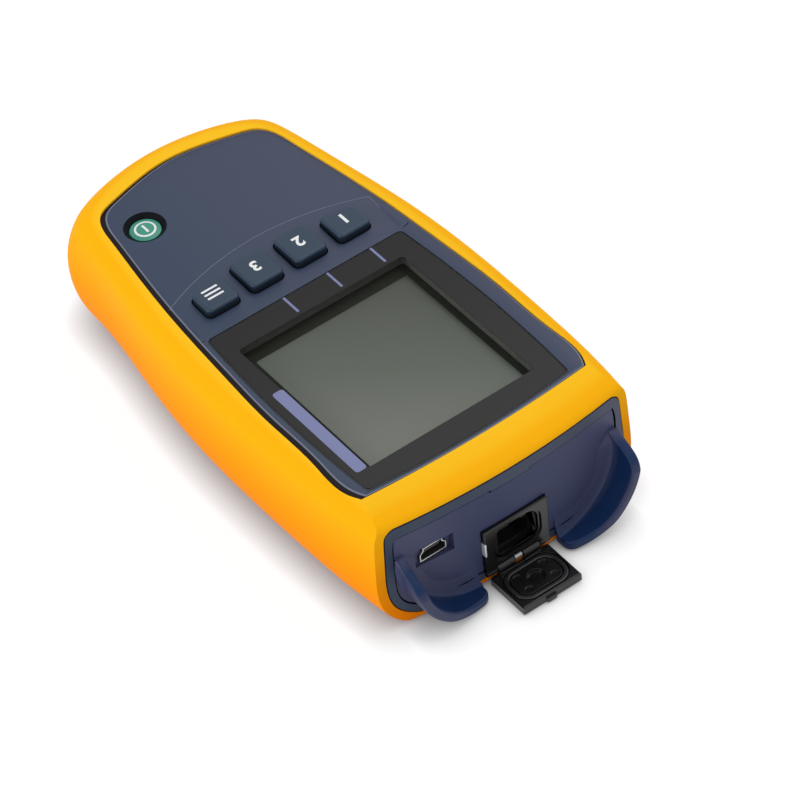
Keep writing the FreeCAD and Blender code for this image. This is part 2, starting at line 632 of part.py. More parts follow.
# Battery bay, its door and the latch screw
pad_half = DOOR_PLATE_HALF + BACK_PAD_MARGIN
pad = rounded(-pad_half, pad_half, DOOR_PLATE_NEAR - BACK_PAD_MARGIN, DOOR_PLATE_FAR + BACK_PAD_MARGIN,
              DOOR_PLATE_CORNER + BACK_PAD_MARGIN, BACK_Z, BACK_Z + BACK_PAD_THICK)
root_z = BACK_Z + 0.5
bay_outer = box(-BAY_HALF - BAY_WALL, BAY_HALF + BAY_WALL, BAY_NEAR - BAY_WALL, BAY_FAR + BAY_WALL, root_z,
                BAY_TOP + BAY_WALL)
bay_inner = box(-BAY_HALF, BAY_HALF, BAY_NEAR, BAY_FAR, 0.0, BAY_TOP)
latch_boss = cyl(LATCH_BOSS_RADIUS, LATCH_BOSS_HEIGHT, 0, LATCH_SCREW_Y, root_z)
rear_shell = fuse([rear_shell, pad.common(case_out), bay_outer.common(case_out), latch_boss])
rear_shell = rear_shell.cut(bay_inner)
rear_shell = rear_shell.cut(rounded(-DOOR_PLATE_HALF - FIT, DOOR_PLATE_HALF + FIT, DOOR_PLATE_NEAR - FIT,
                                    DOOR_PLATE_FAR + FIT, DOOR_PLATE_CORNER + FIT, 0.0, PLATE_Z))
latch_bore = cyl(SCREW_RADIUS + CURVED_FIT, LATCH_SCREW_LENGTH + 1.9, 0, LATCH_SCREW_Y, BACK_Z)
rear_shell = rear_shell.cut(latch_bore)
battery_door = rounded(-DOOR_PLATE_HALF, DOOR_PLATE_HALF, DOOR_PLATE_NEAR, DOOR_PLATE_FAR, DOOR_PLATE_CORNER,
                       BACK_Z, PLATE_Z)
battery_door = battery_door.cut(cyl(LATCH_SCREW_HEAD + CURVED_FIT, LATCH_SCREW_DEPTH, 0, LATCH_SCREW_Y, BACK_Z))
battery_door = battery_door.cut(latch_bore)
rib_pitch = 2.2
for i in range(6):
    y = DOOR_PLATE_FAR - 5.0 - rib_pitch * i
    rib_half = 9.0 - 0.8 * i
    battery_door = battery_door.cut(box(-rib_half, rib_half, y - 0.5, y + 0.5, BACK_Z - 1.0, BACK_Z + 0.5))
latch_head = cyl(LATCH_SCREW_HEAD, LATCH_SCREW_DEPTH, 0, LATCH_SCREW_Y, BACK_Z)
latch_slot = box(-LATCH_SCREW_HEAD, LATCH_SCREW_HEAD, LATCH_SCREW_Y - 0.4, LATCH_SCREW_Y + 0.4, BACK_Z - 1.0,
                 BACK_Z + 0.5)
latch_shank = cyl(SCREW_RADIUS, LATCH_SCREW_LENGTH, 0, LATCH_SCREW_Y, BACK_Z + 0.6)
battery_door_screw = latch_head.cut(latch_slot).fuse(latch_shank).removeSplitter()

cells = []
contacts = []
for side in (-1, 1):
    x = side * CELL_PITCH / 2.0
    plus_face = (BAY_FAR - CONTACT_THICK) if side > 0 else (BAY_NEAR + CONTACT_THICK)
    minus_face = (BAY_NEAR + CONTACT_THICK) if side > 0 else (BAY_FAR - CONTACT_THICK)
    along = V(0, -side, 0)
    body_start = plus_face - side * CELL_NUB
    cell = cyl(CELL_RADIUS, CELL_LENGTH, x, body_start, CELL_Z, along)
    cell = cell.makeChamfer(0.5, [e for e in cell.Edges if e.Closed])
    nub = cyl(CELL_NUB_RADIUS, CELL_NUB + 0.5, x, plus_face, CELL_Z, along)
    cells.append(cell.fuse(nub).removeSplitter())
    body_end = body_start - side * CELL_LENGTH
    reach = abs(body_end - minus_face)
    spring = Part.makeCone(SPRING_RADIUS, SPRING_RADIUS - 1.0, reach, V(x, minus_face, CELL_Z), V(0, side, 0))
    spring_bore = Part.makeCone(SPRING_RADIUS - SPRING_WIRE, SPRING_RADIUS - 1.0 - SPRING_WIRE, reach,
                                V(x, minus_face, CELL_Z), V(0, side, 0))
    plates = [box(x - 5.5, x + 5.5, y, y + CONTACT_THICK, CELL_Z - 6.0, CELL_Z + 6.0)
              for y in (BAY_NEAR, BAY_FAR - CONTACT_THICK)]
    if side < 0:
        plates.reverse()
    contacts.append(fuse([spring.cut(spring_bore), plates[0]]))
    contacts.append(plates[1])
battery_cells = Part.makeCompound(cells)
battery_contacts = Part.makeCompound(contacts)

# Display stack: the glass reaches past the light opening on all sides
display_window = window_prism(0.0, SEAT_Z, WINDOW_TOP, WINDOW_CORNER)
glass_half = LIGHT_HALF + GLASS_MARGIN
glass_near = LIGHT_NEAR_Y - GLASS_MARGIN
glass_far = LIGHT_FAR_Y + GLASS_MARGIN
bezel_inside = BEZEL_BOTTOM + BEZEL_FLOOR
wall = BEZEL_WALL + FIT
lcd_panel = box(-glass_half, glass_half, glass_near, glass_far, LCD_TOP - LCD_THICK, LCD_TOP)
lcd_backlight = box(-glass_half, glass_half, glass_near, glass_far, bezel_inside, LCD_TOP - LCD_THICK)
lcd_frame = box(-glass_half - wall, glass_half + wall, glass_near - wall, glass_far + wall, BEZEL_BOTTOM, LCD_TOP)
lcd_frame = lcd_frame.cut(box(-glass_half - FIT, glass_half + FIT, glass_near - FIT, glass_far + FIT, bezel_inside,
                              LCD_TOP + 1.0))

# End panel with the two guards that curl out around the ports
above_panel = box(-PAST, PAST, -PAST, PAST, PANEL_TOP - PANEL_GAP, PAST)
panel_zone = skin(CASE_SKIN + PANEL_GAP).cut(above_panel)
panel_zone = panel_zone.cut(box(-NOTCH_HALF - PANEL_GAP, NOTCH_HALF + PANEL_GAP, -PAST, PAST,
                                PANEL_TOP - NOTCH_DROP - PANEL_GAP, PAST))
panel = panel_zone.common(end_slab(PANEL_SET_BACK, PANEL_SET_BACK + PANEL_THICK))


def guard_band():
    c = V(GUARD_CENTRE_X, 0, GUARD_CENTRE_Z)
    r = GUARD_RADIUS
    q = r - GUARD_WALL
    diagonal = math.sqrt(0.5)
    tilt = 0.4
    outer = [V(5, 0, c.z - r), V(c.x, 0, c.z - r), V(c.x + r, 0, c.z), V(c.x + r - tilt, 0, GUARD_TOP_Z + 2)]
    inner = [V(c.x + q - tilt, 0, GUARD_TOP_Z + 2), V(c.x + q, 0, c.z), V(c.x, 0, c.z - q), V(5, 0, c.z - q)]
    edges = [Part.makeLine(outer[0], outer[1]),
             Part.Arc(outer[1], V(c.x + r * diagonal, 0, c.z - r * diagonal), outer[2]).toShape(),
             Part.makeLine(outer[2], outer[3]), Part.makeLine(outer[3], inner[0]), Part.makeLine(inner[0], inner[1]),
             Part.Arc(inner[1], V(c.x + q * diagonal, 0, c.z - q * diagonal), inner[2]).toShape(),
             Part.makeLine(inner[2], inner[3]), Part.makeLine(inner[3], outer[0])]
    face = Part.Face(Part.Wire(edges))
    face.translate(V(0, END_Y - 21.0, 0))
    return face.extrude(V(0, 30, 0))


def guard_side_view():
    inside = END_Y + 13.9
    outside = END_Y - 16.1
    top = [V(0, inside, GUARD_TOP_Z), V(0, END_Y + 1.4, GUARD_TOP_Z), V(0, *GUARD_SHOULDER)]
    front = V(0, GUARD_FRONT_Y, GUARD_FRONT_Z)
    rest = [front, V(0, outside, 6), V(0, outside, -5), V(0, inside, -5), top[0]]
    edges = [Part.makeLine(top[0], top[1]), Part.makeLine(top[1], top[2])]
    edges.append(Part.Arc(top[2], V(0, *GUARD_BROW), front).toShape())
    edges += [Part.makeLine(rest[i], rest[i + 1]) for i in range(len(rest) - 1)]
    return Part.Face(Part.Wire(edges)).extrude(V(60, 0, 0))


# Plan of a guard: a straight front that falls back towards the ports
def guard_plan():
    ring = [V(GUARD_INNER_X, END_Y + 13.9, -5), V(GUARD_INNER_X, GUARD_INNER_Y, -5), V(GUARD_BEND_X, GUARD_FOOT_Y, -5),
            V(PAST, GUARD_FOOT_Y, -5), V(PAST, END_Y + 13.9, -5)]
    solid = Part.Face(Part.makePolygon(ring + [ring[0]])).extrude(V(0, 0, 45))
    upright = [e for e in solid.Edges if abs(e.tangentAt(0.0).z) > 0.9 and e.CenterOfMass.x < HALF_WIDTH]
    upright = [e for e in upright if e.CenterOfMass.y < END_Y]
    inner = [e for e in upright if e.CenterOfMass.x < GUARD_BEND_X - 1.0]
    solid = solid.makeFillet(GUARD_INNER_RADIUS, inner)
    bend = [e for e in solid.Edges if abs(e.tangentAt(0.0).z) > 0.9 and abs(e.CenterOfMass.x - GUARD_BEND_X) < 0.01]
    return solid.makeFillet(GUARD_BEND_RADIUS, bend)


plan_block = guard_plan()
band = guard_band().common(guard_side_view()).common(plan_block)
guard = band.common(end_slab(-20.0, -GUARD_ROOT_GAP))
lips = [e for e in guard.Edges if e.CenterOfMass.y < END_Y - 0.4]
guard = guard.makeFillet(GUARD_EDGE, lips)
root_zone = skin(CASE_SKIN + PANEL_GAP + 0.1).cut(above_panel)
root = band.common(root_zone).common(end_slab(-0.9, PANEL_SET_BACK + 1.2))


# Cove where the guard wall runs into the panel: a wide, shallow ellipse turned about the guard centre, tipped to
# follow the panel and fading out towards the guard's top
def cove_profile(scale):
    q = GUARD_RADIUS - GUARD_WALL
    wide = COVE_WIDE * scale
    deep = COVE_DEEP * scale
    back = 1.6
    curve = []
    for i in range(7):
        turn = math.pi / 2.0 * i / 6
        curve.append(V(q - wide * (1.0 - math.cos(turn)), -deep * (1.0 - math.sin(turn)), 0))
    rim = [curve[-1], V(q - wide, back, 0), V(q + 1.0, back, 0), V(q + 1.0, -deep, 0), curve[0]]
    return Part.Wire([spline(curve)] + [Part.makeLine(rim[i], rim[i + 1]) for i in range(len(rim) - 1)])


def guard_cove():
    face = Part.Face(cove_profile(1.0))
    turn = face.revolve(V(0, 0, 0), V(0, 1, 0), 90)
    faded = cove_profile(COVE_FADE)
    faded.translate(V(0, 0, GUARD_TOP_Z - GUARD_CENTRE_Z))
    rise = Part.makeLoft([cove_profile(1.0), faded], True, True)
    low = face.copy()
    low.rotate(V(0, 0, 0), V(0, 1, 0), 90)
    shelf = low.extrude(V(-(GUARD_CENTRE_X - GUARD_INNER_X) - 2, 0, 0))
    whole = fuse([turn, rise, shelf])
    near = END_Y + PANEL_SET_BACK + END_BULGE * (GUARD_CENTRE_X / PLAN_SIDE[0][0]) ** 2
    far_x = GUARD_CENTRE_X + GUARD_RADIUS
    far = END_Y + PANEL_SET_BACK + END_BULGE * (far_x / PLAN_SIDE[0][0]) ** 2
    tip = math.degrees(math.atan2(far - near, far_x - GUARD_CENTRE_X))
    whole.rotate(V(0, 0, 0), V(0, 0, 1), tip)
    whole.translate(V(GUARD_CENTRE_X, near + 0.15, GUARD_CENTRE_Z))
    return whole


cove = guard_cove().common(guard_side_view()).common(plan_block)
cove = cove.common(root_zone.fuse(end_slab(-20.0, -GUARD_ROOT_GAP)))
half = guard.fuse(root).fuse(cove)
end_panel = panel.fuse(half).fuse(mirror_x(half)).removeSplitter()

# Port frame with hinge lugs
frame = rounded_port(-FRAME_HALF, FRAME_HALF, FRAME_BOTTOM, FRAME_TOP, FRAME_EDGE, FRAME_FRONT, FRAME_FRONT + FRAME_THICK)
front_rim = [e for e in frame.Edges if abs(e.CenterOfMass.y - FRAME_FRONT) < 0.01]
frame = frame.makeChamfer(FRAME_EDGE * 0.6, front_rim)
frame_flange = box(-FRAME_HALF - 1.6, FRAME_HALF + 1.6, FRAME_BACK - FRAME_FLANGE, FRAME_BACK, FRAME_BOTTOM + 0.6,
                   FRAME_TOP + 1.6)
neck = box(-FRAME_HALF + 1, FRAME_HALF - 1, FRAME_FRONT + 2, FRAME_BACK, FRAME_BOTTOM + 1, FRAME_TOP - 1)
frame = frame.fuse(neck).fuse(frame_flange)
step = rounded_port(-PORT_HALF - PORT_LIP_WIDTH, PORT_HALF + PORT_LIP_WIDTH, PORT_BOTTOM - PORT_LIP_WIDTH,
                    PORT_TOP + PORT_LIP_WIDTH, PORT_CORNER + PORT_LIP_WIDTH, FRAME_FRONT - 1.0, FRAME_FRONT + PORT_LIP)
port_bore = rounded_port(-PORT_HALF, PORT_HALF, PORT_BOTTOM, PORT_TOP, PORT_CORNER, FRAME_FRONT - 1.0, FRAME_BACK + 1.0)
frame = frame.cut(step).cut(port_bore)
frame = frame.cut(box(-LUG_INNER, LUG_INNER, FRAME_FRONT - 1.0, HINGE_Y + BARREL_RADIUS + 0.3, 0.0, HINGE_Z + 1.7))
for side in (-1, 1):
    x0 = min(side * LUG_INNER, side * LUG_OUTER)
    x1 = max(side * LUG_INNER, side * LUG_OUTER)
    barrel = cyl(BARREL_RADIUS, x1 - x0, x0, HINGE_Y, HINGE_Z, V(1, 0, 0))
    web = box(x0, x1, HINGE_Y - 0.9, HINGE_Y + BARREL_RADIUS, HINGE_Z, FRAME_BOTTOM + 0.8)
    frame = frame.fuse(barrel).fuse(web)
pin_bore = cyl(PIN_RADIUS + CURVED_FIT, 30, -15, HINGE_Y, HINGE_Z, V(1, 0, 0))
frame = frame.cut(pin_bore)

# Metal clip let into the frame's side, round its front corner
clip_low = CLIP_Z - CLIP_HEIGHT / 2
clip_high = CLIP_Z + CLIP_HEIGHT / 2
clip_front = FRAME_FRONT - CLIP_PROUD
clip_back = FRAME_FRONT + 1.4
port_clip = box(-FRAME_HALF - CLIP_PROUD, -FRAME_HALF + CLIP_WRAP, clip_front, clip_back, clip_low, clip_high)
clip_corner = [e for e in port_clip.Edges if abs(e.CenterOfMass.y - clip_front) < 0.01
               and abs(e.CenterOfMass.x + FRAME_HALF + CLIP_PROUD) < 0.01]
port_clip = port_clip.makeChamfer(0.2, clip_corner)
frame = frame.cut(box(-FRAME_HALF - 1, -FRAME_HALF + CLIP_WRAP, clip_front - 1, clip_back, clip_low, clip_high))
port_frame = frame.removeSplitter()

end_panel = end_panel.cut(box(-FRAME_HALF - FIT, FRAME_HALF + FIT, -PAST, RIM_BACK_Y, 0, FRAME_TOP + FIT))
rear_shell = rear_shell.cut(box(-FRAME_HALF - CURVED_FIT, FRAME_HALF + CURVED_FIT, -PAST, FRAME_BACK + 0.8, 0,
                                FRAME_TOP + FIT))

# Mini USB socket in a stepped recess
usb_front = END_Y + PANEL_SET_BACK + END_BULGE * (USB_X / PLAN_SIDE[0][0]) ** 2
usb_back = usb_front + USB_RECESS_DEPTH
end_panel = end_panel.cut(box(USB_X - USB_RECESS_W / 2, USB_X + USB_RECESS_W / 2, -PAST, usb_back,
                              USB_Z - USB_RECESS_H / 2, USB_Z + USB_RECESS_H / 2))


def usb_profile(shrink, y0, y1):
    w = USB_WIDTH / 2 - shrink
    n = w - USB_STEP
    h = USB_HEIGHT / 2 - shrink
    points = [(-w, -h), (w, -h), (w, 0.1), (n, h * 0.55), (n, h), (-n, h), (-n, h * 0.55), (-w, 0.1)]
    ring = [V(USB_X + x, y0, USB_Z + z) for x, z in points]
    return Part.Face(Part.makePolygon(ring + [ring[0]])).extrude(V(0, y1 - y0, 0))


usb_y0 = usb_back - USB_STAND
usb_y1 = usb_y0 + USB_DEPTH
usb_shell = usb_profile(0.0, usb_y0, usb_y1).cut(usb_profile(USB_SHELL, usb_y0 - 1, usb_y1 - 1.2))
usb_insert = usb_profile(USB_SHELL, usb_y1 - 3.2, usb_y1 - 1.2)
tongue = box(USB_X - 2.3, USB_X + 2.3, usb_y0 + 0.5, usb_y1 - 2.0, USB_Z + 0.1, USB_Z + 1.0)
usb_insert = usb_insert.fuse(tongue).removeSplitter()
end_panel = end_panel.cut(usb_profile(-FIT, -PAST, RIM_BACK_Y))

# Fibre receptacle, its ferrule and the detector behind it
socket_front = FRAME_FRONT + 0.9
socket = rounded_port(-PORT_HALF + CURVED_FIT, PORT_HALF - CURVED_FIT, PORT_BOTTOM + CURVED_FIT,
                      PORT_TOP - CURVED_FIT, PORT_CORNER - CURVED_FIT, socket_front, socket_front + SOCKET_DEPTH)
mouth_depth = SOCKET_DEPTH - 4.0
mouth = rounded_port(-SOCKET_INNER_HALF, SOCKET_INNER_HALF, SOCKET_INNER_BOTTOM, SOCKET_INNER_TOP, 1.0, socket_front - 1,
                     socket_front + mouth_depth)
socket = socket.cut(mouth)
socket = socket.cut(box(-SOCKET_INNER_HALF - 0.2, SOCKET_INNER_HALF + 0.2, socket_front - 1, socket_front + 1.6,
                        SOCKET_INNER_BOTTOM - 0.8, SOCKET_INNER_TOP + 0.2))
socket = socket.cut(box(-KEYWAY_HALF, KEYWAY_HALF, socket_front - 1, socket_front + mouth_depth - 1.5,
                        SOCKET_INNER_TOP - 1.0, SOCKET_INNER_TOP + KEYWAY_DEPTH))
ferrule_z = (SOCKET_INNER_BOTTOM + SOCKET_INNER_TOP) / 2
ferrule_y1 = socket_front + SOCKET_DEPTH
ferrule_y0 = socket_front + mouth_depth - FERRULE_REACH
ferrule_half = FERRULE_HEIGHT / 2
ferrule = box(-FERRULE_HALF, FERRULE_HALF, ferrule_y0, ferrule_y1, ferrule_z - ferrule_half, ferrule_z + ferrule_half)
socket = socket.cut(box(-FERRULE_HALF, FERRULE_HALF, ferrule_y0, ferrule_y1 + 1, ferrule_z - ferrule_half,
                        ferrule_z + ferrule_half))
pins = [cyl(GUIDE_PIN_RADIUS, 3.0, s * GUIDE_PIN_X, ferrule_y0 - 1.6, ferrule_z, V(0, 1, 0)) for s in (-1, 1)]
receptacle_ferrule = fuse([ferrule] + pins)
fibre_receptacle = socket.removeSplitter()
can = cyl(DETECTOR_CAN_RADIUS, 5.0, 0, ferrule_y1 + 0.1, ferrule_z, V(0, 1, 0))
carrier = box(-DETECTOR_HALF, DETECTOR_HALF, ferrule_y1 + 5.1, ferrule_y1 + 6.7, ferrule_z - DETECTOR_HALF,
              BOARD_BOTTOM)
detector = fuse([can, carrier])

# Dust door lying open, its gasket, pin and spring
plate = box(-DOOR_HALF, DOOR_HALF, DOOR_TIP, DOOR_REAR, DOOR_TOP - DOOR_THICK, DOOR_TOP)
rims = [e for e in plate.Edges if abs(e.CenterOfMass.z - DOOR_TOP) < 0.01 and e.CenterOfMass.y < DOOR_REAR - 0.1]
plate = plate.makeChamfer(DOOR_CHAMFER, rims)
tab_front = DOOR_TIP - DOOR_TAB_REACH
tab = box(DOOR_TAB_X - DOOR_TAB_HALF, DOOR_TAB_X + DOOR_TAB_HALF, tab_front, DOOR_TIP + 1.0, DOOR_TOP - DOOR_THICK,
          DOOR_TOP - DOOR_THICK + DOOR_TAB_THICK)
tab_corners = [e for e in tab.Edges if abs(e.CenterOfMass.y - tab_front) < 0.01 and abs(e.tangentAt(0.0).z) > 0.9]
tab = tab.makeChamfer(DOOR_TAB_REACH * 0.7, tab_corners)
door_parts = [plate, tab]
knuckle_outer = LUG_INNER - FIT
for side in (-1, 1):
    x0 = min(side * KNUCKLE_INNER, side * knuckle_outer)
    x1 = max(side * KNUCKLE_INNER, side * knuckle_outer)
    barrel = cyl(BARREL_RADIUS, x1 - x0, x0, HINGE_Y, HINGE_Z, V(1, 0, 0))
    root_web = box(x0, x1, HINGE_Y - 1.4, HINGE_Y, HINGE_Z - BARREL_RADIUS, HINGE_Z + 0.2)
    root_foot = box(x0, x1, HINGE_Y - 1.4, DOOR_REAR, DOOR_TOP - 0.5, HINGE_Z - BARREL_RADIUS + 0.3)
    door_parts += [barrel, root_web, root_foot]
door = fuse(door_parts).cut(pin_bore)


def ring_prism(grow, z0, z1):
    half_y = GASKET_HALF_Y + grow
    return rounded(-GASKET_HALF_X - grow, GASKET_HALF_X + grow, GASKET_Y - half_y, GASKET_Y + half_y,
                   GASKET_CORNER + grow, z0, z1)


groove = ring_prism(GASKET_GROOVE, DOOR_TOP - GASKET_DEPTH, DOOR_TOP + 1.0)
groove = groove.cut(ring_prism(-GASKET_WIDTH - GASKET_GROOVE, DOOR_TOP - GASKET_DEPTH - 1.0, DOOR_TOP + 2.0))
door = door.cut(groove)
door = door.cut(cyl(RECESS_RADIUS, RECESS_DEPTH + 1.0, 0, GASKET_Y, DOOR_TOP - RECESS_DEPTH))
for sx in (-1, 1):
    for sy in (-1, 1):
        dimple = cyl(DIMPLE_RADIUS, DIMPLE_DEPTH + 1.0, sx * DIMPLE_X, GASKET_Y + sy * DIMPLE_Y, DOOR_TOP - DIMPLE_DEPTH)
        door = door.cut(dimple)
dust_door = door
gasket = ring_prism(0.0, DOOR_TOP - GASKET_DEPTH, DOOR_TOP + GASKET_PROUD)
gasket = gasket.cut(ring_prism(-GASKET_WIDTH, DOOR_TOP - GASKET_DEPTH - 1.0, DOOR_TOP + 1.0))
crest = [e for e in gasket.Edges if abs(e.CenterOfMass.z - DOOR_TOP - GASKET_PROUD) < 0.01]
door_gasket = gasket.makeChamfer(0.3, crest)
hinge_pin = cyl(PIN_RADIUS, 2 * LUG_OUTER, -LUG_OUTER, HINGE_Y, HINGE_Z, V(1, 0, 0))
coil_half = KNUCKLE_INNER - CURVED_FIT
coil = cyl(COIL_RADIUS, 2 * coil_half, -coil_half, HINGE_Y, HINGE_Z, V(1, 0, 0))
leg = box(-coil_half, -coil_half + 0.6, HINGE_Y + 0.5, HINGE_Y + 1.3, HINGE_Z, HINGE_Z + 1.7)
hinge_spring = coil.fuse(leg).cut(pin_bore).removeSplitter()

parts = {
    "holster": holster,
    "front_shell": front_shell,
    "rear_shell": rear_shell,
    "end_panel": end_panel,
    "display_window": display_window,
    "lcd_panel": lcd_panel,
    "lcd_backlight": lcd_backlight,
    "lcd_frame": lcd_frame,
    "keypad_mat": keypad_mat,
    "key_board": key_board,
    "key_switches": key_switches,
    "power_button": power_button,
    "main_board": main_board,
    "usb_shell": usb_shell,
    "usb_insert": usb_insert,
    "port_frame": port_frame,
    "port_clip": port_clip,
    "fibre_receptacle": fibre_receptacle,
    "receptacle_ferrule": receptacle_ferrule,
    "detector": detector,
    "dust_door": dust_door,
    "door_gasket": door_gasket,
    "hinge_pin": hinge_pin,
    "hinge_spring": hinge_spring,
    "battery_door": battery_door,
    "battery_door_screw": battery_door_screw,
    "battery_cells": battery_cells,
    "battery_contacts": battery_contacts,
    "case_screws": case_screws,
}
parts.update(keys)
origin_shift = (HALF_LENGTH + FAR_FLARE + tab_front) / -2.0
for name, shape in parts.items():
    shape = shape.copy()
    shape.translate(V(0, origin_shift, 0))
    solids = len(shape.Solids)
    print(name, "valid", shape.isValid(), "solids", solids, "volume", round(shape.Volume, 1))
    shape.exportStep("parts/" + name + ".step")
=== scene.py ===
import json
import math

import bmesh
import bpy
from mathutils import Matrix, Vector


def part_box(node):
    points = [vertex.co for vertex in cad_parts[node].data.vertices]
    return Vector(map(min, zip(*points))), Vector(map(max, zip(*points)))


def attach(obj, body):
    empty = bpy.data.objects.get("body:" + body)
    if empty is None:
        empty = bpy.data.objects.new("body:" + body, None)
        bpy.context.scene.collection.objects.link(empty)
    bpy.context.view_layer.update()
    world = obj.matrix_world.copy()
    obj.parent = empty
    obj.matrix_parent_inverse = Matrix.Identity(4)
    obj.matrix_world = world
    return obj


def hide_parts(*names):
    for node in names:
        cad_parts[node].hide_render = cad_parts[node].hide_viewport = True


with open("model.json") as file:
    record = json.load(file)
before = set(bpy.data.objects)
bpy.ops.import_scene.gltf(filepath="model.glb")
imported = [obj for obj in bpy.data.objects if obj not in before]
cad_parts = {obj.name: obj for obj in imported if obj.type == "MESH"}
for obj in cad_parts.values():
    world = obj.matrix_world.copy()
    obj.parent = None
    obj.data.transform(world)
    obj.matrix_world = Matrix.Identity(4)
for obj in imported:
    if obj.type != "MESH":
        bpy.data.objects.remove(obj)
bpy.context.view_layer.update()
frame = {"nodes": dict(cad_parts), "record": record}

# The view. The meter lies on its back on a white table and is seen from the connector end,
# half from above and a little from the left, through a long lens tipped slightly to one side.
MM = 0.001
LOOKS_AT = Vector((8.315, -11.662, 7.414)) * MM
VIEW_AZIMUTH = math.radians(-32.175)
VIEW_ELEVATION = math.radians(44.899)
VIEW_ROLL = math.radians(-6.609)
VIEW_DISTANCE = 1099.8 * MM
camera = bpy.data.objects.new("camera", bpy.data.cameras.new("camera"))
camera.data.sensor_width = 36.0
camera.data.lens = 203.28
turned = Matrix.Rotation(VIEW_AZIMUTH, 4, "Z") @ Matrix.Rotation(math.pi / 2 - VIEW_ELEVATION, 4, "X")
turned = turned @ Matrix.Rotation(VIEW_ROLL, 4, "Z")
camera.matrix_world = Matrix.Translation(LOOKS_AT) @ turned @ Matrix.Translation((0, 0, VIEW_DISTANCE))
bpy.context.scene.collection.objects.link(camera)
bpy.context.scene.camera = camera
bpy.context.scene.view_settings.view_transform = "Standard"

# The table. A large matt sheet of cool white paper, lifted to plain white where it is seen or mirrored, with a painted
# contact shadow where ambient occlusion dims the lift near the meter.
FLOOR_REACH = 3.0
PAPER_WHITE = (0.8, 0.8, 0.8, 1.0)
PAPER_SEEN = (0.16, 0.16, 0.165, 1.0)
PAPER_LIFT = 0.9
SHADOW_PAINT_REACH = 9.0


# Blender's switch for the rays that show a backdrop: the camera's own, and those met in gloss or glass
def shown_rays(tree):
    rays = tree.nodes.new("ShaderNodeLightPath")
    shown = rays.outputs["Is Camera Ray"]
    for kind in ("Is Glossy Ray", "Is Transmission Ray"):
        either = tree.nodes.new("ShaderNodeMath")
        either.operation = "MAXIMUM"
        tree.links.new(shown, either.inputs[0])
        tree.links.new(rays.outputs[kind], either.inputs[1])
        shown = either.outputs["Value"]
    return shown


sheet = bmesh.new()
bmesh.ops.create_grid(sheet, x_segments=2, y_segments=2, size=FLOOR_REACH)
bmesh.ops.translate(sheet, verts=sheet.verts, vec=(0, 0, -0.05 * MM))
table = bpy.data.objects.new("table", bpy.data.meshes.new("table"))
sheet.to_mesh(table.data)
sheet.free()
bpy.context.scene.collection.objects.link(table)
paper = bpy.data.materials.new("white_paper")
paper.use_nodes = True
nodes, links = paper.node_tree.nodes, paper.node_tree.links
nodes.clear()
bounce = nodes.new("ShaderNodeBsdfDiffuse")
bounce.inputs["Color"].default_value = PAPER_WHITE
seen = nodes.new("ShaderNodeBsdfDiffuse")
seen.inputs["Color"].default_value = PAPER_SEEN
# Painted contact shadow: ambient occlusion dims the lift close to the meter
painted_shadow = nodes.new("ShaderNodeAmbientOcclusion")
painted_shadow.inputs["Distance"].default_value = SHADOW_PAINT_REACH * MM
dimmed = nodes.new("ShaderNodeMath")
dimmed.operation = "MULTIPLY"
dimmed.inputs[1].default_value = PAPER_LIFT
lift = nodes.new("ShaderNodeEmission")
both = nodes.new("ShaderNodeAddShader")
choose = nodes.new("ShaderNodeMixShader")
surface = nodes.new("ShaderNodeOutputMaterial")
links.new(painted_shadow.outputs["AO"], dimmed.inputs[0])
links.new(dimmed.outputs["Value"], lift.inputs["Strength"])
links.new(seen.outputs["BSDF"], both.inputs[0])
links.new(lift.outputs["Emission"], both.inputs[1])
links.new(shown_rays(paper.node_tree), choose.inputs["Fac"])
links.new(bounce.outputs["BSDF"], choose.inputs[1])
links.new(both.outputs["Shader"], choose.inputs[2])
links.new(choose.outputs["Shader"], surface.inputs["Surface"])
table.data.materials.append(paper)

# The room and its lamps. A plain white studio that shows as white in everything glossy, a soft
# lamp high behind the meter's right and a second one low at its left.
ROOM_LIGHT = 0.62
room = bpy.data.worlds.new("white_room")
bpy.context.scene.world = room
room.use_nodes = True
nodes, links = room.node_tree.nodes, room.node_tree.links
nodes.clear()
shown = nodes.new("ShaderNodeBackground")
shown.inputs["Strength"].default_value = 1.0
lighting = nodes.new("ShaderNodeBackground")
lighting.inputs["Strength"].default_value = ROOM_LIGHT
for backdrop in (shown, lighting):
    backdrop.inputs["Color"].default_value = (1.0, 1.0, 1.0, 1.0)
choose = nodes.new("ShaderNodeMixShader")
sky = nodes.new("ShaderNodeOutputWorld")
links.new(shown_rays(room.node_tree), choose.inputs["Fac"])
links.new(lighting.outputs["Background"], choose.inputs[1])
links.new(shown.outputs["Background"], choose.inputs[2])
links.new(choose.outputs["Shader"], sky.inputs["Surface"])


def softbox(name, place, size, watts):
    lamp = bpy.data.objects.new(name, bpy.data.lights.new(name, "AREA"))
    lamp.data.size = size
    lamp.data.energy = watts
    lamp.location = place
    lamp.rotation_euler = Vector(place).to_track_quat("Z", "Y").to_euler()
    bpy.context.scene.collection.objects.link(lamp)


softbox("high_softbox", (0.8, 0.15, 1.2), 0.9, 6.5)
softbox("left_softbox", (-1.3, 0.05, 0.4), 0.9, 8.0)


# The holster. A thick stretch-on skin moulded in one piece from orange rubber, with a satin
# bloom. It hugs both halves of the case and leaves the face and the connector end open.
def effect(name, inputs, outputs):
    group = bpy.data.node_groups.new(name, "ShaderNodeTree")
    for label, kind, value in inputs:
        socket = group.interface.new_socket(name=label, in_out="INPUT", socket_type=kind)
        socket.default_value = value
    for label, kind in outputs:
        group.interface.new_socket(name=label, in_out="OUTPUT", socket_type=kind)
    return group, group.nodes.new("NodeGroupInput"), group.nodes.new("NodeGroupOutput")


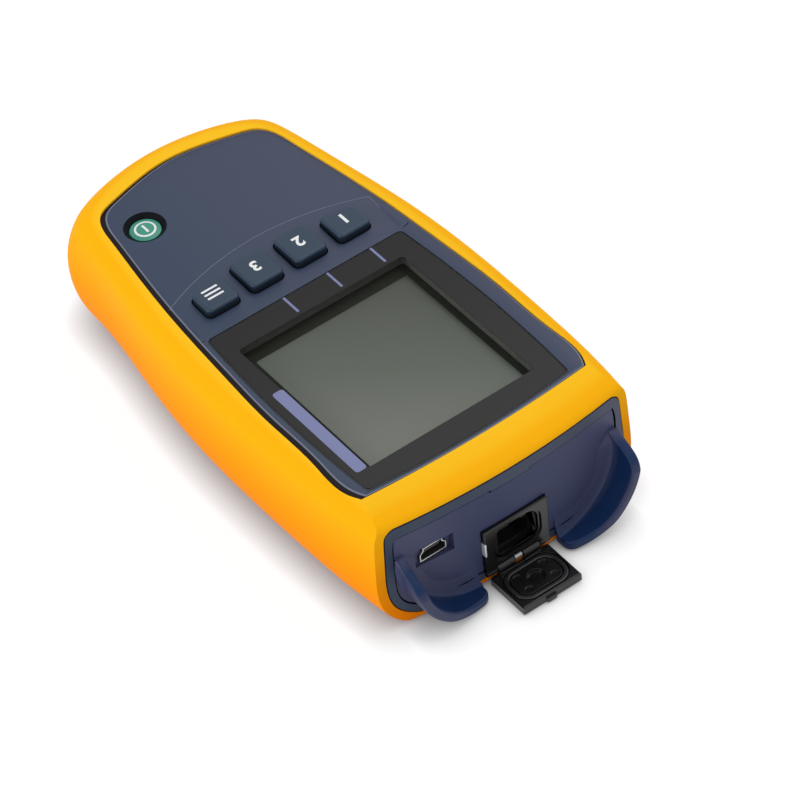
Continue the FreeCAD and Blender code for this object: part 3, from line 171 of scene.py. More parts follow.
# Mould texture: a fine grain that breaks up the highlights, and slow patches of rougher skin
mould_texture, ins, outs = effect(
    "mould_texture",
    [("Grain", "NodeSocketFloat", 2500.0), ("Depth", "NodeSocketFloat", 0.00002),
     ("Roughness", "NodeSocketFloat", 0.5), ("Spread", "NodeSocketFloat", 0.05)],
    [("Roughness", "NodeSocketFloat"), ("Normal", "NodeSocketVector")])
nodes, links = mould_texture.nodes, mould_texture.links
place = nodes.new("ShaderNodeTexCoord")
grain = nodes.new("ShaderNodeTexNoise")
grain.inputs["Detail"].default_value = 3.0
bumps = nodes.new("ShaderNodeBump")
bumps.inputs["Strength"].default_value = 0.6
patches = nodes.new("ShaderNodeTexNoise")
patches.inputs["Scale"].default_value = 90.0
patches.inputs["Detail"].default_value = 4.0
centred = nodes.new("ShaderNodeMath")
centred.operation = "SUBTRACT"
centred.inputs[1].default_value = 0.5
spread = nodes.new("ShaderNodeMath")
spread.operation = "MULTIPLY_ADD"
links.new(place.outputs["Object"], grain.inputs["Vector"])
links.new(place.outputs["Object"], patches.inputs["Vector"])
links.new(ins.outputs["Grain"], grain.inputs["Scale"])
links.new(grain.outputs["Fac"], bumps.inputs["Height"])
links.new(ins.outputs["Depth"], bumps.inputs["Distance"])
links.new(patches.outputs["Fac"], centred.inputs[0])
links.new(centred.outputs["Value"], spread.inputs[0])
links.new(ins.outputs["Spread"], spread.inputs[1])
links.new(ins.outputs["Roughness"], spread.inputs[2])
links.new(spread.outputs["Value"], outs.inputs["Roughness"])
links.new(bumps.outputs["Normal"], outs.inputs["Normal"])

# Handling: the colour drifts a little lighter and darker in soft patches
handled, ins, outs = effect(
    "handled",
    [("Color", "NodeSocketColor", (0.5, 0.5, 0.5, 1.0)), ("Drift", "NodeSocketFloat", 0.06),
     ("Size", "NodeSocketFloat", 40.0)],
    [("Color", "NodeSocketColor")])
nodes, links = handled.nodes, handled.links
place = nodes.new("ShaderNodeTexCoord")
cloud = nodes.new("ShaderNodeTexNoise")
cloud.inputs["Detail"].default_value = 5.0
swing = nodes.new("ShaderNodeMath")
swing.operation = "SUBTRACT"
swing.inputs[1].default_value = 0.5
level = nodes.new("ShaderNodeMath")
level.operation = "MULTIPLY_ADD"
level.inputs[2].default_value = 1.0
shade = nodes.new("ShaderNodeHueSaturation")
links.new(place.outputs["Object"], cloud.inputs["Vector"])
links.new(ins.outputs["Size"], cloud.inputs["Scale"])
links.new(cloud.outputs["Fac"], swing.inputs[0])
links.new(swing.outputs["Value"], level.inputs[0])
links.new(ins.outputs["Drift"], level.inputs[1])
links.new(level.outputs["Value"], shade.inputs["Value"])
links.new(ins.outputs["Color"], shade.inputs["Color"])
links.new(shade.outputs["Color"], outs.inputs["Color"])


def finish(name, colour, roughness, grain=2500.0, depth=0.02, spread=0.05, drift=0.08, **fixed):
    material = bpy.data.materials.new(name)
    material.use_nodes = True
    tree = material.node_tree
    shader = tree.nodes["Principled BSDF"]
    texture = tree.nodes.new("ShaderNodeGroup")
    texture.node_tree = mould_texture
    texture.inputs["Grain"].default_value = grain
    texture.inputs["Depth"].default_value = depth * MM
    texture.inputs["Roughness"].default_value = roughness
    texture.inputs["Spread"].default_value = spread
    tree.links.new(texture.outputs["Roughness"], shader.inputs["Roughness"])
    tree.links.new(texture.outputs["Normal"], shader.inputs["Normal"])
    drifting = tree.nodes.new("ShaderNodeGroup")
    drifting.name = "drifting"
    drifting.node_tree = handled
    drifting.inputs["Color"].default_value = (*colour, 1.0)
    drifting.inputs["Drift"].default_value = drift
    tree.links.new(drifting.outputs["Color"], shader.inputs["Base Color"])
    for socket, value in fixed.items():
        shader.inputs[socket.replace("_", " ")].default_value = value
    return material


# A colour that runs from one tone to another over the piece, along a direction and between two places on it
def fading(material, direction, start, end, tones):
    tree = material.node_tree
    spot = tree.nodes.new("ShaderNodeTexCoord")
    along = tree.nodes.new("ShaderNodeVectorMath")
    along.operation = "DOT_PRODUCT"
    along.inputs[1].default_value = direction
    share = tree.nodes.new("ShaderNodeMapRange")
    share.inputs["From Min"].default_value = start * MM
    share.inputs["From Max"].default_value = end * MM
    blend = tree.nodes.new("ShaderNodeValToRGB")
    while len(blend.color_ramp.elements) < len(tones):
        blend.color_ramp.elements.new(0.5)
    for step, (stop, tone) in zip(blend.color_ramp.elements, tones):
        step.position = stop
        step.color = (*tone, 1.0)
    tree.links.new(spot.outputs["Object"], along.inputs[0])
    tree.links.new(along.outputs["Value"], share.inputs["Value"])
    tree.links.new(share.outputs["Result"], blend.inputs["Fac"])
    tree.links.new(blend.outputs["Color"], tree.nodes["drifting"].inputs["Color"])


def body_of(node):
    return next(body for body, members in frame["record"]["behaviour"]["bodies"].items() if node in members)


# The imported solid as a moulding: flat facets merged, sharp edges broken, shading evened
def moulding(node, material, edge=0.2, crease=40.0, rounds=2):
    piece = bpy.data.objects.new(node + "_moulding", frame["nodes"][node].data.copy())
    bpy.context.scene.collection.objects.link(piece)
    shape = bmesh.new()
    shape.from_mesh(piece.data)
    bmesh.ops.remove_doubles(shape, verts=shape.verts, dist=0.002 * MM)
    bmesh.ops.dissolve_limit(shape, angle_limit=math.radians(0.3), verts=shape.verts, edges=shape.edges)
    sharp = [e for e in shape.edges if len(e.link_faces) == 2 and e.calc_face_angle(0.0) > math.radians(crease)]
    if edge and sharp:
        bmesh.ops.bevel(shape, geom=sharp, offset=edge * MM, offset_type="OFFSET", segments=rounds,
                        profile=0.5, affect="EDGES", clamp_overlap=True, material=-1)
    for face in shape.faces:
        face.smooth = True
    for e in shape.edges:
        e.smooth = len(e.link_faces) == 2 and e.calc_face_angle(0.0) < math.radians(50.0)
    shape.to_mesh(piece.data)
    shape.free()
    if "custom_normal" in piece.data.attributes:
        piece.data.attributes.remove(piece.data.attributes["custom_normal"])
    piece.data.materials.clear()
    piece.data.materials.append(material)
    even = piece.modifiers.new("even_shading", "WEIGHTED_NORMAL")
    even.keep_sharp = True
    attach(piece, body_of(node))
    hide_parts(node)
    return piece


HOLSTER_SHADED_FOOT = (1.0, 0.24, 0.003)
HOLSTER_SIDE = (1.0, 0.345, 0.004)
HOLSTER_LIT_RIM = (1.0, 0.468, 0.006)
HOLSTER_HIGHLIGHT_EDGE = (1.0, 0.56, 0.02)
HOLSTER_HEIGHT = 36.0
holster_rubber = finish("holster_rubber", HOLSTER_SIDE, 0.46, grain=3200.0, depth=0.012, drift=0.03,
                        Specular_IOR_Level=0.01)
# Painted light: the rubber is painted darker towards its foot as shade, lighter towards the rim, and lightest along the
# top edge as a painted highlight
fading(holster_rubber, (0, 0, 1), 0.0, HOLSTER_HEIGHT,
       ((0.0, HOLSTER_SHADED_FOOT), (0.5, HOLSTER_SIDE), (0.9, HOLSTER_LIT_RIM), (0.985, HOLSTER_LIT_RIM), (1.0, HOLSTER_HIGHLIGHT_EDGE)))
holster = moulding("holster", holster_rubber, edge=0.45, rounds=3)

# The case. Two deep halves and an end panel with curled guards, all moulded in slate blue
# plastic with a fine spark texture.
CASE_SHADED_LEFT, CASE_SHEEN_RIGHT, FACE_HALF = (0.004, 0.022, 0.062), (0.024, 0.036, 0.078), 35.0
case_plastic = finish("case_plastic", (0.014, 0.028, 0.072), 0.48, grain=4200.0, depth=0.014, drift=0.06)
# Painted sheen: the plastic is painted darker at the face's left and lighter at its right
fading(case_plastic, (1, 0, 0), -FACE_HALF, FACE_HALF, ((0.0, CASE_SHADED_LEFT), (1.0, CASE_SHEEN_RIGHT)))
PANEL_SHEEN_FLAT, GUARD_SHADED_HOLLOW, GUARD_LIT_LIP = (0.056, 0.062, 0.132), (0.002, 0.019, 0.08), (0.04, 0.046, 0.105)
panel_plastic = finish("panel_plastic", PANEL_SHEEN_FLAT, 0.45, grain=4200.0, depth=0.014, drift=0.06,
                       Specular_IOR_Level=0.25)
GUARD_TIP, PANEL_BACK = -76.0, -66.5
# Painted shade and sheen: deep navy in the guards' hollows, lighter on their lips and on the flat of the panel
fading(panel_plastic, (0, 1, 0), GUARD_TIP, PANEL_BACK,
       ((0.0, GUARD_LIT_LIP), (0.15, GUARD_SHADED_HOLLOW), (0.6, GUARD_SHADED_HOLLOW), (0.95, PANEL_SHEEN_FLAT)))
# Near-black for painted shade in narrow gaps and hollows
painted_gap_shade = finish("painted_gap_shade", (0.0015, 0.002, 0.004), 0.6, grain=4200.0, depth=0.01, drift=0.06,
                  Specular_IOR_Level=0.1)
button_low, button_high = (Vector(corner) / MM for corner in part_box("power_button"))
button_middle = (button_low + button_high) / 2
WELL_RADIUS, WELL_TOP = 5.5, 35.35
HOLE_FLOOR, HOLE_TOP = 31.0, 35.3
KEY_FIELD_HALF, KEY_FIELD_NEAR, KEY_FIELD_FAR = 31.5, -56.5, 30.0
PANEL_SEAT_NEAR, PANEL_SEAT_FAR, PANEL_MIDDLE = -68.4, -62.0, 15.0
PANEL_CROWN, PANEL_BOW, PANEL_HALF = -68.46, 2.57, 34.0
PANEL_TOP, PANEL_FOOT, PANEL_SIDE, PANEL_OUTWARD = 24.5, 3.0, 32.0, 8.0


# Painted shade: walls that stand in a narrow gap, and the power button's well, are painted near-black
def shade_walls(piece, chosen):
    piece.data.materials.append(painted_gap_shade)
    for face in piece.data.polygons:
        if chosen(face.center / MM, face.normal):
            face.material_index = 1


def in_face_gap(spot, facing):
    in_hole = (abs(facing.z) < 0.5 and HOLE_FLOOR < spot.z < HOLE_TOP and abs(spot.x) < KEY_FIELD_HALF
               and KEY_FIELD_NEAR < spot.y < KEY_FIELD_FAR)
    in_well = (math.hypot(spot.x - button_middle.x, spot.y - button_middle.y) < WELL_RADIUS and facing.z < 0.97
               and HOLE_FLOOR < spot.z < WELL_TOP)
    return in_hole or in_well or in_panel_gap(spot, facing)


def in_panel_gap(spot, facing):
    inward = facing.x * spot.x + facing.z * (spot.z - PANEL_MIDDLE) < 0
    return abs(facing.y) < 0.4 and PANEL_SEAT_NEAR < spot.y < PANEL_SEAT_FAR and inward


# The end panel's outer rim walls, painted near-black as painted shade along its seam with the shells
def on_panel_rim(spot, facing):
    above = facing.z > 0.25 and spot.z > PANEL_TOP
    beside = facing.x * spot.x > PANEL_OUTWARD and abs(spot.x) > PANEL_SIDE
    below = facing.z < -0.25 and spot.z < PANEL_FOOT
    return spot.y > PANEL_CROWN + PANEL_BOW * (spot.x / PANEL_HALF) ** 2 and (above or beside or below)


front_shell = moulding("front_shell", case_plastic, edge=0.08)
shade_walls(front_shell, in_face_gap)
rear_shell = moulding("rear_shell", case_plastic, edge=0.12)
shade_walls(rear_shell, in_panel_gap)
end_panel = moulding("end_panel", panel_plastic, edge=0.25, rounds=3)
shade_walls(end_panel, on_panel_rim)

# The crease behind the keys, where the face breaks down into the sunk tray: a fine bead in a lighter tone of the same
# plastic, a painted highlight along its whole curve.
CREASE_ENDS = (30.0, 26.2)
CREASE_TOP = 33.2
CREASE_LEAN = 0.47
CREASE_RADIUS = 0.11
CREASE_SINK = 0.06
CREASE_GRIP = 10.0


def taken_as_mesh(name, curve, place):
    carrier = bpy.data.objects.new(name, curve)
    mesh = bpy.data.meshes.new_from_object(carrier)
    bpy.data.objects.remove(carrier)
    mesh.transform(place @ Matrix.Scale(MM, 4))
    return mesh


def fixed_piece(name, mesh, material, body):
    piece = bpy.data.objects.new(name, mesh)
    bpy.context.scene.collection.objects.link(piece)
    mesh.materials.clear()
    mesh.materials.append(material)
    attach(piece, body)
    return piece


def shaped_mesh(name, shape, place=Matrix()):
    mesh = bpy.data.meshes.new(name)
    shape.to_mesh(mesh)
    shape.free()
    mesh.transform(place @ Matrix.Scale(MM, 4))
    return mesh


# Ink and film: a flat shape laid at a height, facing up
def laid_flat(name, shape, height, material, body):
    shape.normal_update()
    for face in shape.faces:
        if face.normal.z < 0:
            face.normal_flip()
    mesh = shaped_mesh(name, shape, Matrix.Translation((0, 0, height * MM)))
    return fixed_piece(name, mesh, material, body)


face_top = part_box("front_shell")[1][2]
crease = bpy.data.curves.new("tray_crease", "CURVE")
crease.dimensions = "3D"
crease.bevel_depth = CREASE_RADIUS
crease.bevel_resolution = 2
crease.resolution_u = 24
crease.use_fill_caps = True
bow = crease.splines.new("BEZIER")
bow.bezier_points.add(2)
for point, (x, y, lean) in zip(bow.bezier_points, ((-CREASE_ENDS[0], CREASE_ENDS[1], CREASE_LEAN),
                                                   (0.0, CREASE_TOP, 0.0),
                                                   (CREASE_ENDS[0], CREASE_ENDS[1], -CREASE_LEAN))):
    point.co = (x, y, 0.0)
    point.handle_left = (x - CREASE_GRIP, y - CREASE_GRIP * lean, 0.0)
    point.handle_right = (x + CREASE_GRIP, y + CREASE_GRIP * lean, 0.0)
# Painted highlight: a lighter tone of the case plastic
painted_highlight_plastic = finish("painted_highlight_plastic", (0.13, 0.15, 0.22), 0.4, grain=4200.0, depth=0.01)
window_low, window_high = (Vector(corner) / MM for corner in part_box("display_window"))
TRAY_DEPTH = face_top / MM - window_high.z
WINDOW_FAR_HALF = 28.9
for side in (-1, 1):
    ramp_end = crease.splines.new("POLY")
    ramp_end.points.add(1)
    ramp_end.points[0].co = (side * CREASE_ENDS[0], CREASE_ENDS[1], 0.0, 1.0)
    ramp_end.points[1].co = (side * (WINDOW_FAR_HALF + 0.5), window_high.y + 0.5, -TRAY_DEPTH, 1.0)
on_the_face = Matrix.Translation((0, 0, face_top - CREASE_SINK * MM))
fixed_piece("tray_crease", taken_as_mesh("tray_crease", crease, on_the_face), painted_highlight_plastic, "meter")

# The gap between the holster and the face: a near-black band laid on the face, broad along the left side, as painted
# shade, with a fine raised bead in a lighter tone beside it as a painted highlight.
SHADE_BAND_EDGE = (0.974, 0.993, 0.72, 0.1)
BEAD_EDGE = (0.963, 0.988, 0.79, 0.1)
SHADE_BAND_LIFT, BEAD_LIFT = 0.012, 0.02
FACE_CENTRE_Y = 8.0


# A flat band between two copies of the holster's opening, each drawn in and shifted
def face_band(name, outer, inner, height, material):
    band = bmesh.new()
    band.from_mesh(frame["nodes"]["holster"].data)
    bmesh.ops.remove_doubles(band, verts=band.verts, dist=0.002 * MM)
    bmesh.ops.scale(band, verts=band.verts, vec=(1 / MM, 1 / MM, 1 / MM))
    bmesh.ops.bisect_plane(band, geom=[*band.verts, *band.edges, *band.faces],
                           plane_co=(0, 0, face_top / MM - 0.1), plane_no=(0, 0, 1), clear_outer=True, clear_inner=True)
    loops, left = [], set(band.verts)
    while left:
        loop = [left.pop()]
        for vertex in loop:
            for other in (edge.other_vert(vertex) for edge in vertex.link_edges):
                if other in left:
                    left.remove(other)
                    loop.append(other)
        loops.append(loop)
    opening = set(min(loops, key=lambda loop: max(v.co.x for v in loop)))
    bmesh.ops.delete(band, geom=[v for v in band.verts if v not in opening], context="VERTS")
    bmesh.ops.scale(band, verts=band.verts, vec=(1.0, 1.0, 0.0))
    drawn_in = bmesh.ops.duplicate(band, geom=[*band.verts, *band.edges])["geom"]
    drawn_in = {v for v in drawn_in if isinstance(v, bmesh.types.BMVert)}
    left_out = [v for v in band.verts if v not in drawn_in]
    for verts, (sx, sy, dx, dy) in ((left_out, outer), (list(drawn_in), inner)):
        bmesh.ops.scale(band, verts=verts, vec=(sx, sy, 1.0), space=Matrix.Translation((0, -FACE_CENTRE_Y, 0)))
        bmesh.ops.translate(band, verts=verts, vec=(dx, dy, 0.0))
    bmesh.ops.bridge_loops(band, edges=band.edges)
    laid_flat(name, band, height, material, "meter")


gap_shade_black = finish("gap_shade_black", (0.006, 0.002, 0.003), 0.6, grain=3500.0, depth=0.006, drift=0.04,
                   Specular_IOR_Level=0.15)
# Painted shade in the gap, and beside it a painted highlight
face_band("gap_shade_band", (1.0, 1.0, 0.0, 0.0), SHADE_BAND_EDGE, face_top / MM + SHADE_BAND_LIFT, gap_shade_black)
face_band("highlight_bead", SHADE_BAND_EDGE, BEAD_EDGE, face_top / MM + BEAD_LIFT, painted_highlight_plastic)

# The screws and the battery door. Four plated steel screws join the shells from the back, and a
# captive slotted one holds the plain moulded door, which lifts straight off its bay.
screw_steel = finish("screw_steel", (0.45, 0.45, 0.46), 0.35, depth=0.004, Metallic=1.0)
case_screws = moulding("case_screws", screw_steel, edge=0.1)
battery_door_screw = moulding("battery_door_screw", screw_steel, edge=0.1)
battery_door = moulding("battery_door", case_plastic, edge=0.2)

# The display's glass. A grey reflective liquid crystal panel in a black tray over its light guide.
# A dark border frames the lit area, which is painted lighter from its far corner to its near one: a painted reflection
# of the room.
LIT_SIDE, LIT_NEAR, LIT_FAR = 3.2, 2.2, 5.3
LCD_NEAR_REFLECTION = (0.215, 0.23, 0.2)
LCD_MID_GREY = (0.12, 0.136, 0.114)
LCD_FAR_DIM = (0.075, 0.084, 0.067)


# A flat rectangle with rounded corners, added to the shape being made, in millimetres
def rounded_plate(shape, x0, x1, y0, y1, radius, rows=1):
    made = bmesh.ops.create_grid(shape, x_segments=1, y_segments=rows, size=0.5)["verts"]
    bmesh.ops.scale(shape, verts=made, vec=(x1 - x0, y1 - y0, 1.0))
    bmesh.ops.translate(shape, verts=made, vec=((x0 + x1) / 2, (y0 + y1) / 2, 0.0))
    corners = [v for v in made if len(v.link_edges) == 2]
    bmesh.ops.bevel(shape, geom=corners, offset=radius, offset_type="OFFSET", segments=6, profile=0.5,
                    affect="VERTICES", clamp_overlap=True, material=-1)


def outlines_only(shape):
    bmesh.ops.delete(shape, geom=list(shape.faces), context="FACES_ONLY")


black_plastic = finish("black_plastic", (0.006, 0.006, 0.006), 0.36, grain=3500.0, depth=0.008, drift=0.04)
lcd_frame = moulding("lcd_frame", black_plastic, edge=0.1)
light_guide = finish("light_guide", (0.75, 0.75, 0.72), 0.4)
lcd_backlight = moulding("lcd_backlight", light_guide, edge=0.1)
crystal = finish("liquid_crystal", LCD_MID_GREY, 0.2, depth=0.001, drift=0.02, Specular_IOR_Level=0.3)
# Painted reflection: the crystal is painted lighter towards its near corner
fading(crystal, (0.8, 1.0, 0.0), -63.0, 20.0, ((0.0, LCD_NEAR_REFLECTION), (0.5, LCD_MID_GREY), (1.0, LCD_FAR_DIM)))
lcd_panel = moulding("lcd_panel", crystal, edge=0.1)
lcd_low, lcd_high = (Vector(corner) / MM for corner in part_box("lcd_panel"))
lit = (lcd_low.x + LIT_SIDE, lcd_high.x - LIT_SIDE, lcd_low.y + LIT_NEAR, lcd_high.y - LIT_FAR)
border_black = finish("border_black", (0.032, 0.034, 0.028), 0.5, depth=0.0, drift=0.04, Specular_IOR_Level=0.0)
border = bmesh.new()
rounded_plate(border, lcd_low.x + 0.3, lcd_high.x - 0.3, lcd_low.y + 0.3, lcd_high.y - 0.3, 0.4)
rounded_plate(border, *lit, 0.3)
outlines_only(border)
bmesh.ops.bridge_loops(border, edges=border.edges)
laid_flat("lcd_border", border, lcd_high.z + 0.02, border_black, "meter")

# The window. A clear hard-coated plate whose edges are painted light grey as a painted highlight, printed black from
# behind but for a clear field. A lavender label and three ticks for the soft keys are printed on its front.
GLASS_MARGIN = 1.2
TICK_WIDE, TICK_LONG = 0.65, 6.3
LABEL = (-28.05, -24.95, -47.2, -13.1)
LINING_THICK, LINING_GAP = 0.12, 0.08
SOFT_KEYS = ("function_key_3", "function_key_2", "function_key_1")
clear_field = (lcd_low.x + GLASS_MARGIN, lcd_high.x - GLASS_MARGIN, lcd_low.y + GLASS_MARGIN, lcd_high.y - GLASS_MARGIN)
lining_grey = finish("lining_grey", (0.09, 0.095, 0.084), 0.5, grain=3500.0, depth=0.006, drift=0.04)
lining = bmesh.new()
rounded_plate(lining, clear_field[0] - 0.1, clear_field[1] + 0.1, clear_field[2] - 0.1, clear_field[3] + 0.1, 1.1)
outlines_only(lining)
bmesh.ops.translate(lining, verts=lining.verts, vec=(0, 0, lcd_high.z + LINING_GAP))
drawn = bmesh.ops.extrude_edge_only(lining, edges=lining.edges)["geom"]
bmesh.ops.translate(lining, verts=[v for v in drawn if isinstance(v, bmesh.types.BMVert)],
                    vec=(0, 0, window_low.z - lcd_high.z - 0.1))
bmesh.ops.recalc_face_normals(lining, faces=lining.faces)
bmesh.ops.solidify(lining, geom=list(lining.faces), thickness=LINING_THICK)
fixed_piece("display_lining", shaped_mesh("display_lining", lining), lining_grey, "meter")

print_black = finish("print_black", (0.004, 0.004, 0.004), 0.12, depth=0.001, spread=0.02, drift=0.02,
                     Specular_IOR_Level=0.32)
PRINT_NEAR_REFLECTION, PRINT_FAR_DIM = (0.018, 0.018, 0.018), (0.0005, 0.0005, 0.0005)
# Painted reflection: the black print is painted a little lighter towards the near end
fading(print_black, (0, 1, 0), -62.0, 15.0, ((0.0, PRINT_NEAR_REFLECTION), (1.0, PRINT_FAR_DIM)))


# Black ink over the whole window but for a rectangle, on its front or its back
def window_ink(name, height, field):
    ink = bmesh.new()
    ink.from_mesh(frame["nodes"]["display_window"].data)
    bmesh.ops.remove_doubles(ink, verts=ink.verts, dist=0.002 * MM)
    bmesh.ops.scale(ink, verts=ink.verts, vec=(1 / MM, 1 / MM, 1 / MM))
    middle = (window_low + window_high) / 2
    bmesh.ops.bisect_plane(ink, geom=[*ink.verts, *ink.edges, *ink.faces], plane_co=middle, plane_no=(0, 0, 1),
                           clear_outer=True, clear_inner=True)
    bmesh.ops.scale(ink, verts=ink.verts, vec=(1.0, 1.0, 0.0))
    bmesh.ops.translate(ink, verts=ink.verts, vec=(0, -middle.y, 0))
    bmesh.ops.scale(ink, verts=ink.verts, vec=(0.991, 0.992, 1.0))
    bmesh.ops.translate(ink, verts=ink.verts, vec=(0, middle.y, 0))
    rounded_plate(ink, *field, 1.0)
    outlines_only(ink)
    bmesh.ops.triangle_fill(ink, use_beauty=True, edges=ink.edges)
    laid_flat(name, ink, height, print_black, "meter")


SIGHT_LEAN = (-0.69, -1.1)
front_field = (clear_field[0] + SIGHT_LEAN[0], clear_field[1] + SIGHT_LEAN[0], clear_field[2] + SIGHT_LEAN[1],
               clear_field[3] + SIGHT_LEAN[1])
window_ink("window_mask", window_low.z + 0.03, clear_field)
window_ink("window_print", window_high.z + 0.004, front_field)

clear_coat = bpy.data.materials.new("clear_window")
clear_coat.use_nodes = True
nodes, links = clear_coat.node_tree.nodes, clear_coat.node_tree.links
nodes.clear()
through = nodes.new("ShaderNodeBsdfTransparent")
through.inputs["Color"].default_value = (0.97, 0.97, 0.97, 1.0)
coat_out = nodes.new("ShaderNodeOutputMaterial")
links.new(through.outputs["BSDF"], coat_out.inputs["Surface"])
# Painted highlight: the window's side faces are painted light grey
painted_edge_highlight = finish("painted_edge_highlight", (0.1, 0.1, 0.102), 0.5, depth=0.004, drift=0.03)
window = moulding("display_window", clear_coat, edge=0.12)
window.data.materials.append(painted_edge_highlight)
for face in window.data.polygons:
    if abs(face.normal.z) < 0.95:
        face.material_index = 1

lavender = finish("lavender_ink", (0.205, 0.224, 0.41), 0.5, depth=0.0, spread=0.02, drift=0.02,
                  Specular_IOR_Level=0.2)
marks = bmesh.new()
rounded_plate(marks, *LABEL, 0.8)
tick_far = window_high.y - 0.1
for node in SOFT_KEYS:
    low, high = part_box(node)
    x = (low[0] + high[0]) / 2.0 / MM
    rounded_plate(marks, x - TICK_WIDE / 2, x + TICK_WIDE / 2, tick_far - TICK_LONG, tick_far, 0.05)
laid_flat("window_marks", marks, window_high.z + 0.012, lavender, "meter")

# The boards and the keypad. A rubber mat with a bump under each key lies over the steel domes of
# the key board; the main board behind is screwed to posts of the rear shell.
mat_rubber = finish("mat_rubber", (0.05, 0.06, 0.08), 0.6)
keypad_mat = moulding("keypad_mat", mat_rubber, edge=0.1)
solder_resist = finish("solder_resist", (0.02, 0.18, 0.07), 0.35)
key_board = moulding("key_board", solder_resist, edge=0.05)
main_board = moulding("main_board", solder_resist, edge=0.05)
plated = finish("plated_steel", (0.78, 0.77, 0.74), 0.28, depth=0.003, Metallic=1.0)
key_switches = moulding("key_switches", plated, edge=0.05)

# The keys. Four silicone caps with soft edges in their own holes, with plain numerals and a
# three-bar sign printed on them in white.
NUMERAL_SIZE = 4.9
NUMERAL_BACK = 0.6
BAR_LONG, BAR_WIDE, BAR_PITCH = 4.6, 0.62, 1.45
key_rubber = finish("key_rubber", (0.004, 0.024, 0.055), 0.5, grain=3800.0, depth=0.01, drift=0.05)
# Painted shade: the caps are painted darker towards their feet
fading(key_rubber, (0, 0, 1), 35.0, 36.9, ((0.0, (0.0005, 0.002, 0.005)), (1.0, (0.004, 0.024, 0.055))))
white_ink = finish("white_ink", (0.82, 0.83, 0.84), 0.5, depth=0.0, spread=0.02, drift=0.03)
menu_key = moulding("menu_key", key_rubber, edge=0.0)
low, high = (Vector(corner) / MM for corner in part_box("menu_key"))
x, y = (low.x + high.x) / 2, (low.y + high.y) / 2 + NUMERAL_BACK
bars = bmesh.new()
for row in (-1, 0, 1):
    rounded_plate(bars, x - BAR_LONG / 2, x + BAR_LONG / 2, y + row * BAR_PITCH - BAR_WIDE / 2,
                  y + row * BAR_PITCH + BAR_WIDE / 2, 0.12)
laid_flat("menu_bars", bars, high.z + 0.01, white_ink, "menu_key")
for node in SOFT_KEYS:
    moulding(node, key_rubber, edge=0.0)
    low, high = (Vector(corner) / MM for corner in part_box(node))
    numeral = bpy.data.curves.new("numeral_" + node[-1], "FONT")
    numeral.body = node[-1]
    numeral.size = NUMERAL_SIZE
    numeral.offset = 0.15
    numeral.align_x, numeral.align_y = "CENTER", "CENTER"
    centre = Vector(((low.x + high.x) / 2, (low.y + high.y) / 2 + NUMERAL_BACK, high.z + 0.01)) * MM
    upside = Matrix.Translation(centre) @ Matrix.Rotation(math.pi, 4, "Z")
    fixed_piece("numeral_" + node[-1], taken_as_mesh("numeral_" + node[-1], numeral, upside), white_ink, node)

# The power button. A low green silicone dome in a coned well, with the usual ring and bar for
# power printed over its crown in white.
RING_OUTER, RING_INNER = 2.8, 2.25
POWER_BAR_LONG, POWER_BAR_WIDE = 2.9, 0.62
BUTTON_RADIUS, DOME_RISE = 3.95, 0.5
green_rubber = finish("green_rubber", (0.03, 0.27, 0.19), 0.42, grain=3800.0, depth=0.008, drift=0.05)
power_button = moulding("power_button", green_rubber, edge=0.0)
low, high = (Vector(corner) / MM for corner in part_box("power_button"))
dome = (BUTTON_RADIUS ** 2 + DOME_RISE ** 2) / (2.0 * DOME_RISE)
sign = bmesh.new()
for radius in (RING_OUTER, RING_INNER):
    bmesh.ops.create_circle(sign, cap_ends=False, segments=72, radius=radius)
bmesh.ops.bridge_loops(sign, edges=sign.edges)
rounded_plate(sign, -POWER_BAR_WIDE / 2, POWER_BAR_WIDE / 2, -POWER_BAR_LONG / 2, POWER_BAR_LONG / 2, 0.1, rows=12)
for vertex in sign.verts:
    vertex.co.z = -(vertex.co.x ** 2 + vertex.co.y ** 2) / (2.0 * dome)
bmesh.ops.translate(sign, verts=sign.verts, vec=((low.x + high.x) / 2, (low.y + high.y) / 2, 0.0))
laid_flat("power_sign", sign, high.z + 0.02, white_ink, "power_button")

# The USB socket. A drawn steel shell, bright at its lip, with its inner walls painted near-black as painted shade,
# round a black tongue with five sprung contacts.
CONTACTS, CONTACT_PITCH = 5, 0.8
CONTACT_WIDE, CONTACT_LONG, CONTACT_THICK = 0.32, 5.0, 0.14
CONTACT_INSET, CONTACT_DROP = 2.9, 1.45
drawn_steel = finish("drawn_steel", (0.5, 0.5, 0.49), 0.35, depth=0.003, Metallic=1.0)
usb_shell = moulding("usb_shell", drawn_steel, edge=0.05)
# Painted shade: the shell's inner walls are painted near-black
shaded_steel = finish("shaded_steel", (0.02, 0.02, 0.02), 0.5, depth=0.003)
usb_shell.data.materials.append(shaded_steel)
low, high = (Vector(corner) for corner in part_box("usb_shell"))
socket_middle = (low + high) / 2
for face in usb_shell.data.polygons:
    inward = socket_middle - face.center
    if abs(face.normal.y) < 0.5 and face.normal.x * inward.x + face.normal.z * inward.z > 0:
        face.material_index = 1
usb_insert = moulding("usb_insert", black_plastic, edge=0.05)
low, high = (Vector(corner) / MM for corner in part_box("usb_insert"))
springs = bmesh.new()
for i in range(CONTACTS):
    x = (low.x + high.x) / 2 + (i - (CONTACTS - 1) / 2) * CONTACT_PITCH
    made = bmesh.ops.create_cube(springs, size=1.0)["verts"]
    bmesh.ops.scale(springs, verts=made, vec=(CONTACT_WIDE, CONTACT_LONG, CONTACT_THICK))
    bmesh.ops.translate(springs, verts=made, vec=(x, low.y + CONTACT_INSET, high.z - CONTACT_DROP))
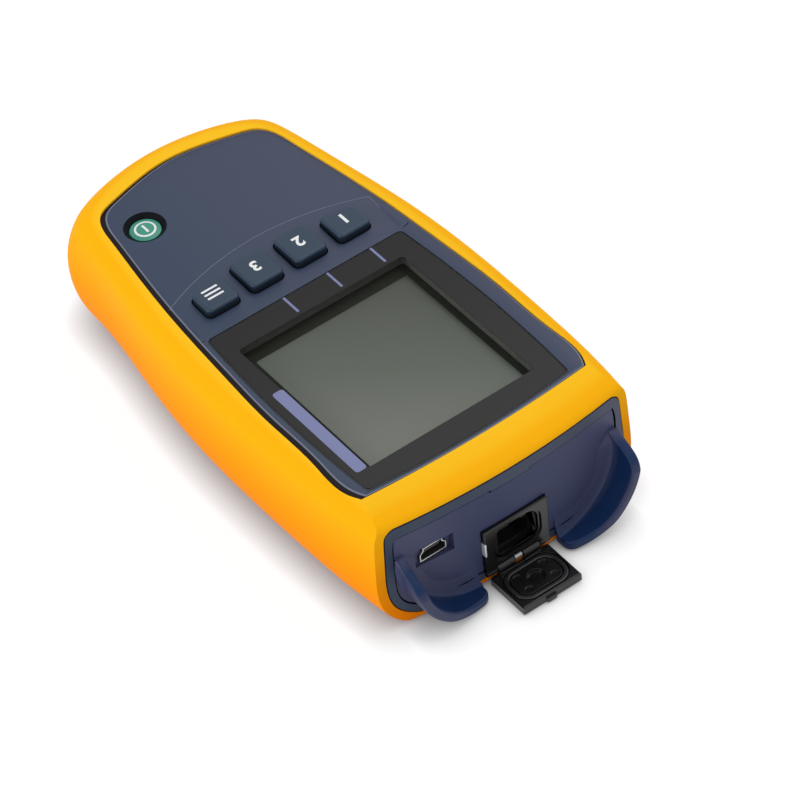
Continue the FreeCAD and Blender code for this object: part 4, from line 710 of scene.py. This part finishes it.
bmesh.ops.bevel(springs, geom=list(springs.edges), offset=0.03, offset_type="OFFSET", segments=1, profile=0.5,
                affect="EDGES", clamp_overlap=True, material=-1)
fixed_piece("usb_contacts", shaped_mesh("usb_contacts", springs), plated, "meter")

# The fibre port. A glossy black frame clipped into the panel, its socket with a keyway, the
# ceramic ferrule with two guide pins, and the detector behind it.
port_black = finish("port_black", (0.006, 0.006, 0.006), 0.24, grain=3500.0, depth=0.006, drift=0.04)
port_frame = moulding("port_frame", port_black, edge=0.15)
clip_metal = finish("clip_metal", (0.75, 0.75, 0.75), 0.45, depth=0.003, Metallic=0.4)
port_clip = moulding("port_clip", clip_metal, edge=0.06)
socket_black = finish("socket_black", (0.005, 0.005, 0.005), 0.5, grain=3500.0, depth=0.006, drift=0.04,
                      Specular_IOR_Level=0.2)
fibre_receptacle = moulding("fibre_receptacle", socket_black, edge=0.12)
zirconia = finish("zirconia", (0.8, 0.78, 0.72), 0.2, depth=0.0)
receptacle_ferrule = moulding("receptacle_ferrule", zirconia, edge=0.05)
detector = moulding("detector", plated, edge=0.1)

# The dust door, lying open. A black plastic flap on a blackened pin, held open by a small bright
# spring, with a rubber ring that seals the port when it is shut.
dust_door = moulding("dust_door", port_black, edge=0.12)
gasket_rubber = finish("gasket_rubber", (0.01, 0.01, 0.01), 0.35, depth=0.008)
door_gasket = moulding("door_gasket", gasket_rubber, edge=0.0)
blackened = finish("blackened_pin", (0.02, 0.02, 0.022), 0.35, depth=0.003)
hinge_pin = moulding("hinge_pin", blackened, edge=0.05)
spring_wire = finish("spring_wire", (0.42, 0.42, 0.42), 0.4, depth=0.003, Metallic=0.7)
hinge_spring = moulding("hinge_spring", spring_wire, edge=0.05)

# The power. Two AA cells in plain metal jackets lie side by side in their bay, between sprung
# contacts of plated steel that are pressed into the bay's end walls.
cell_jacket = finish("cell_jacket", (0.25, 0.25, 0.27), 0.3, depth=0.003)
battery_cells = moulding("battery_cells", cell_jacket, edge=0.0)
battery_contacts = moulding("battery_contacts", plated, edge=0.05)
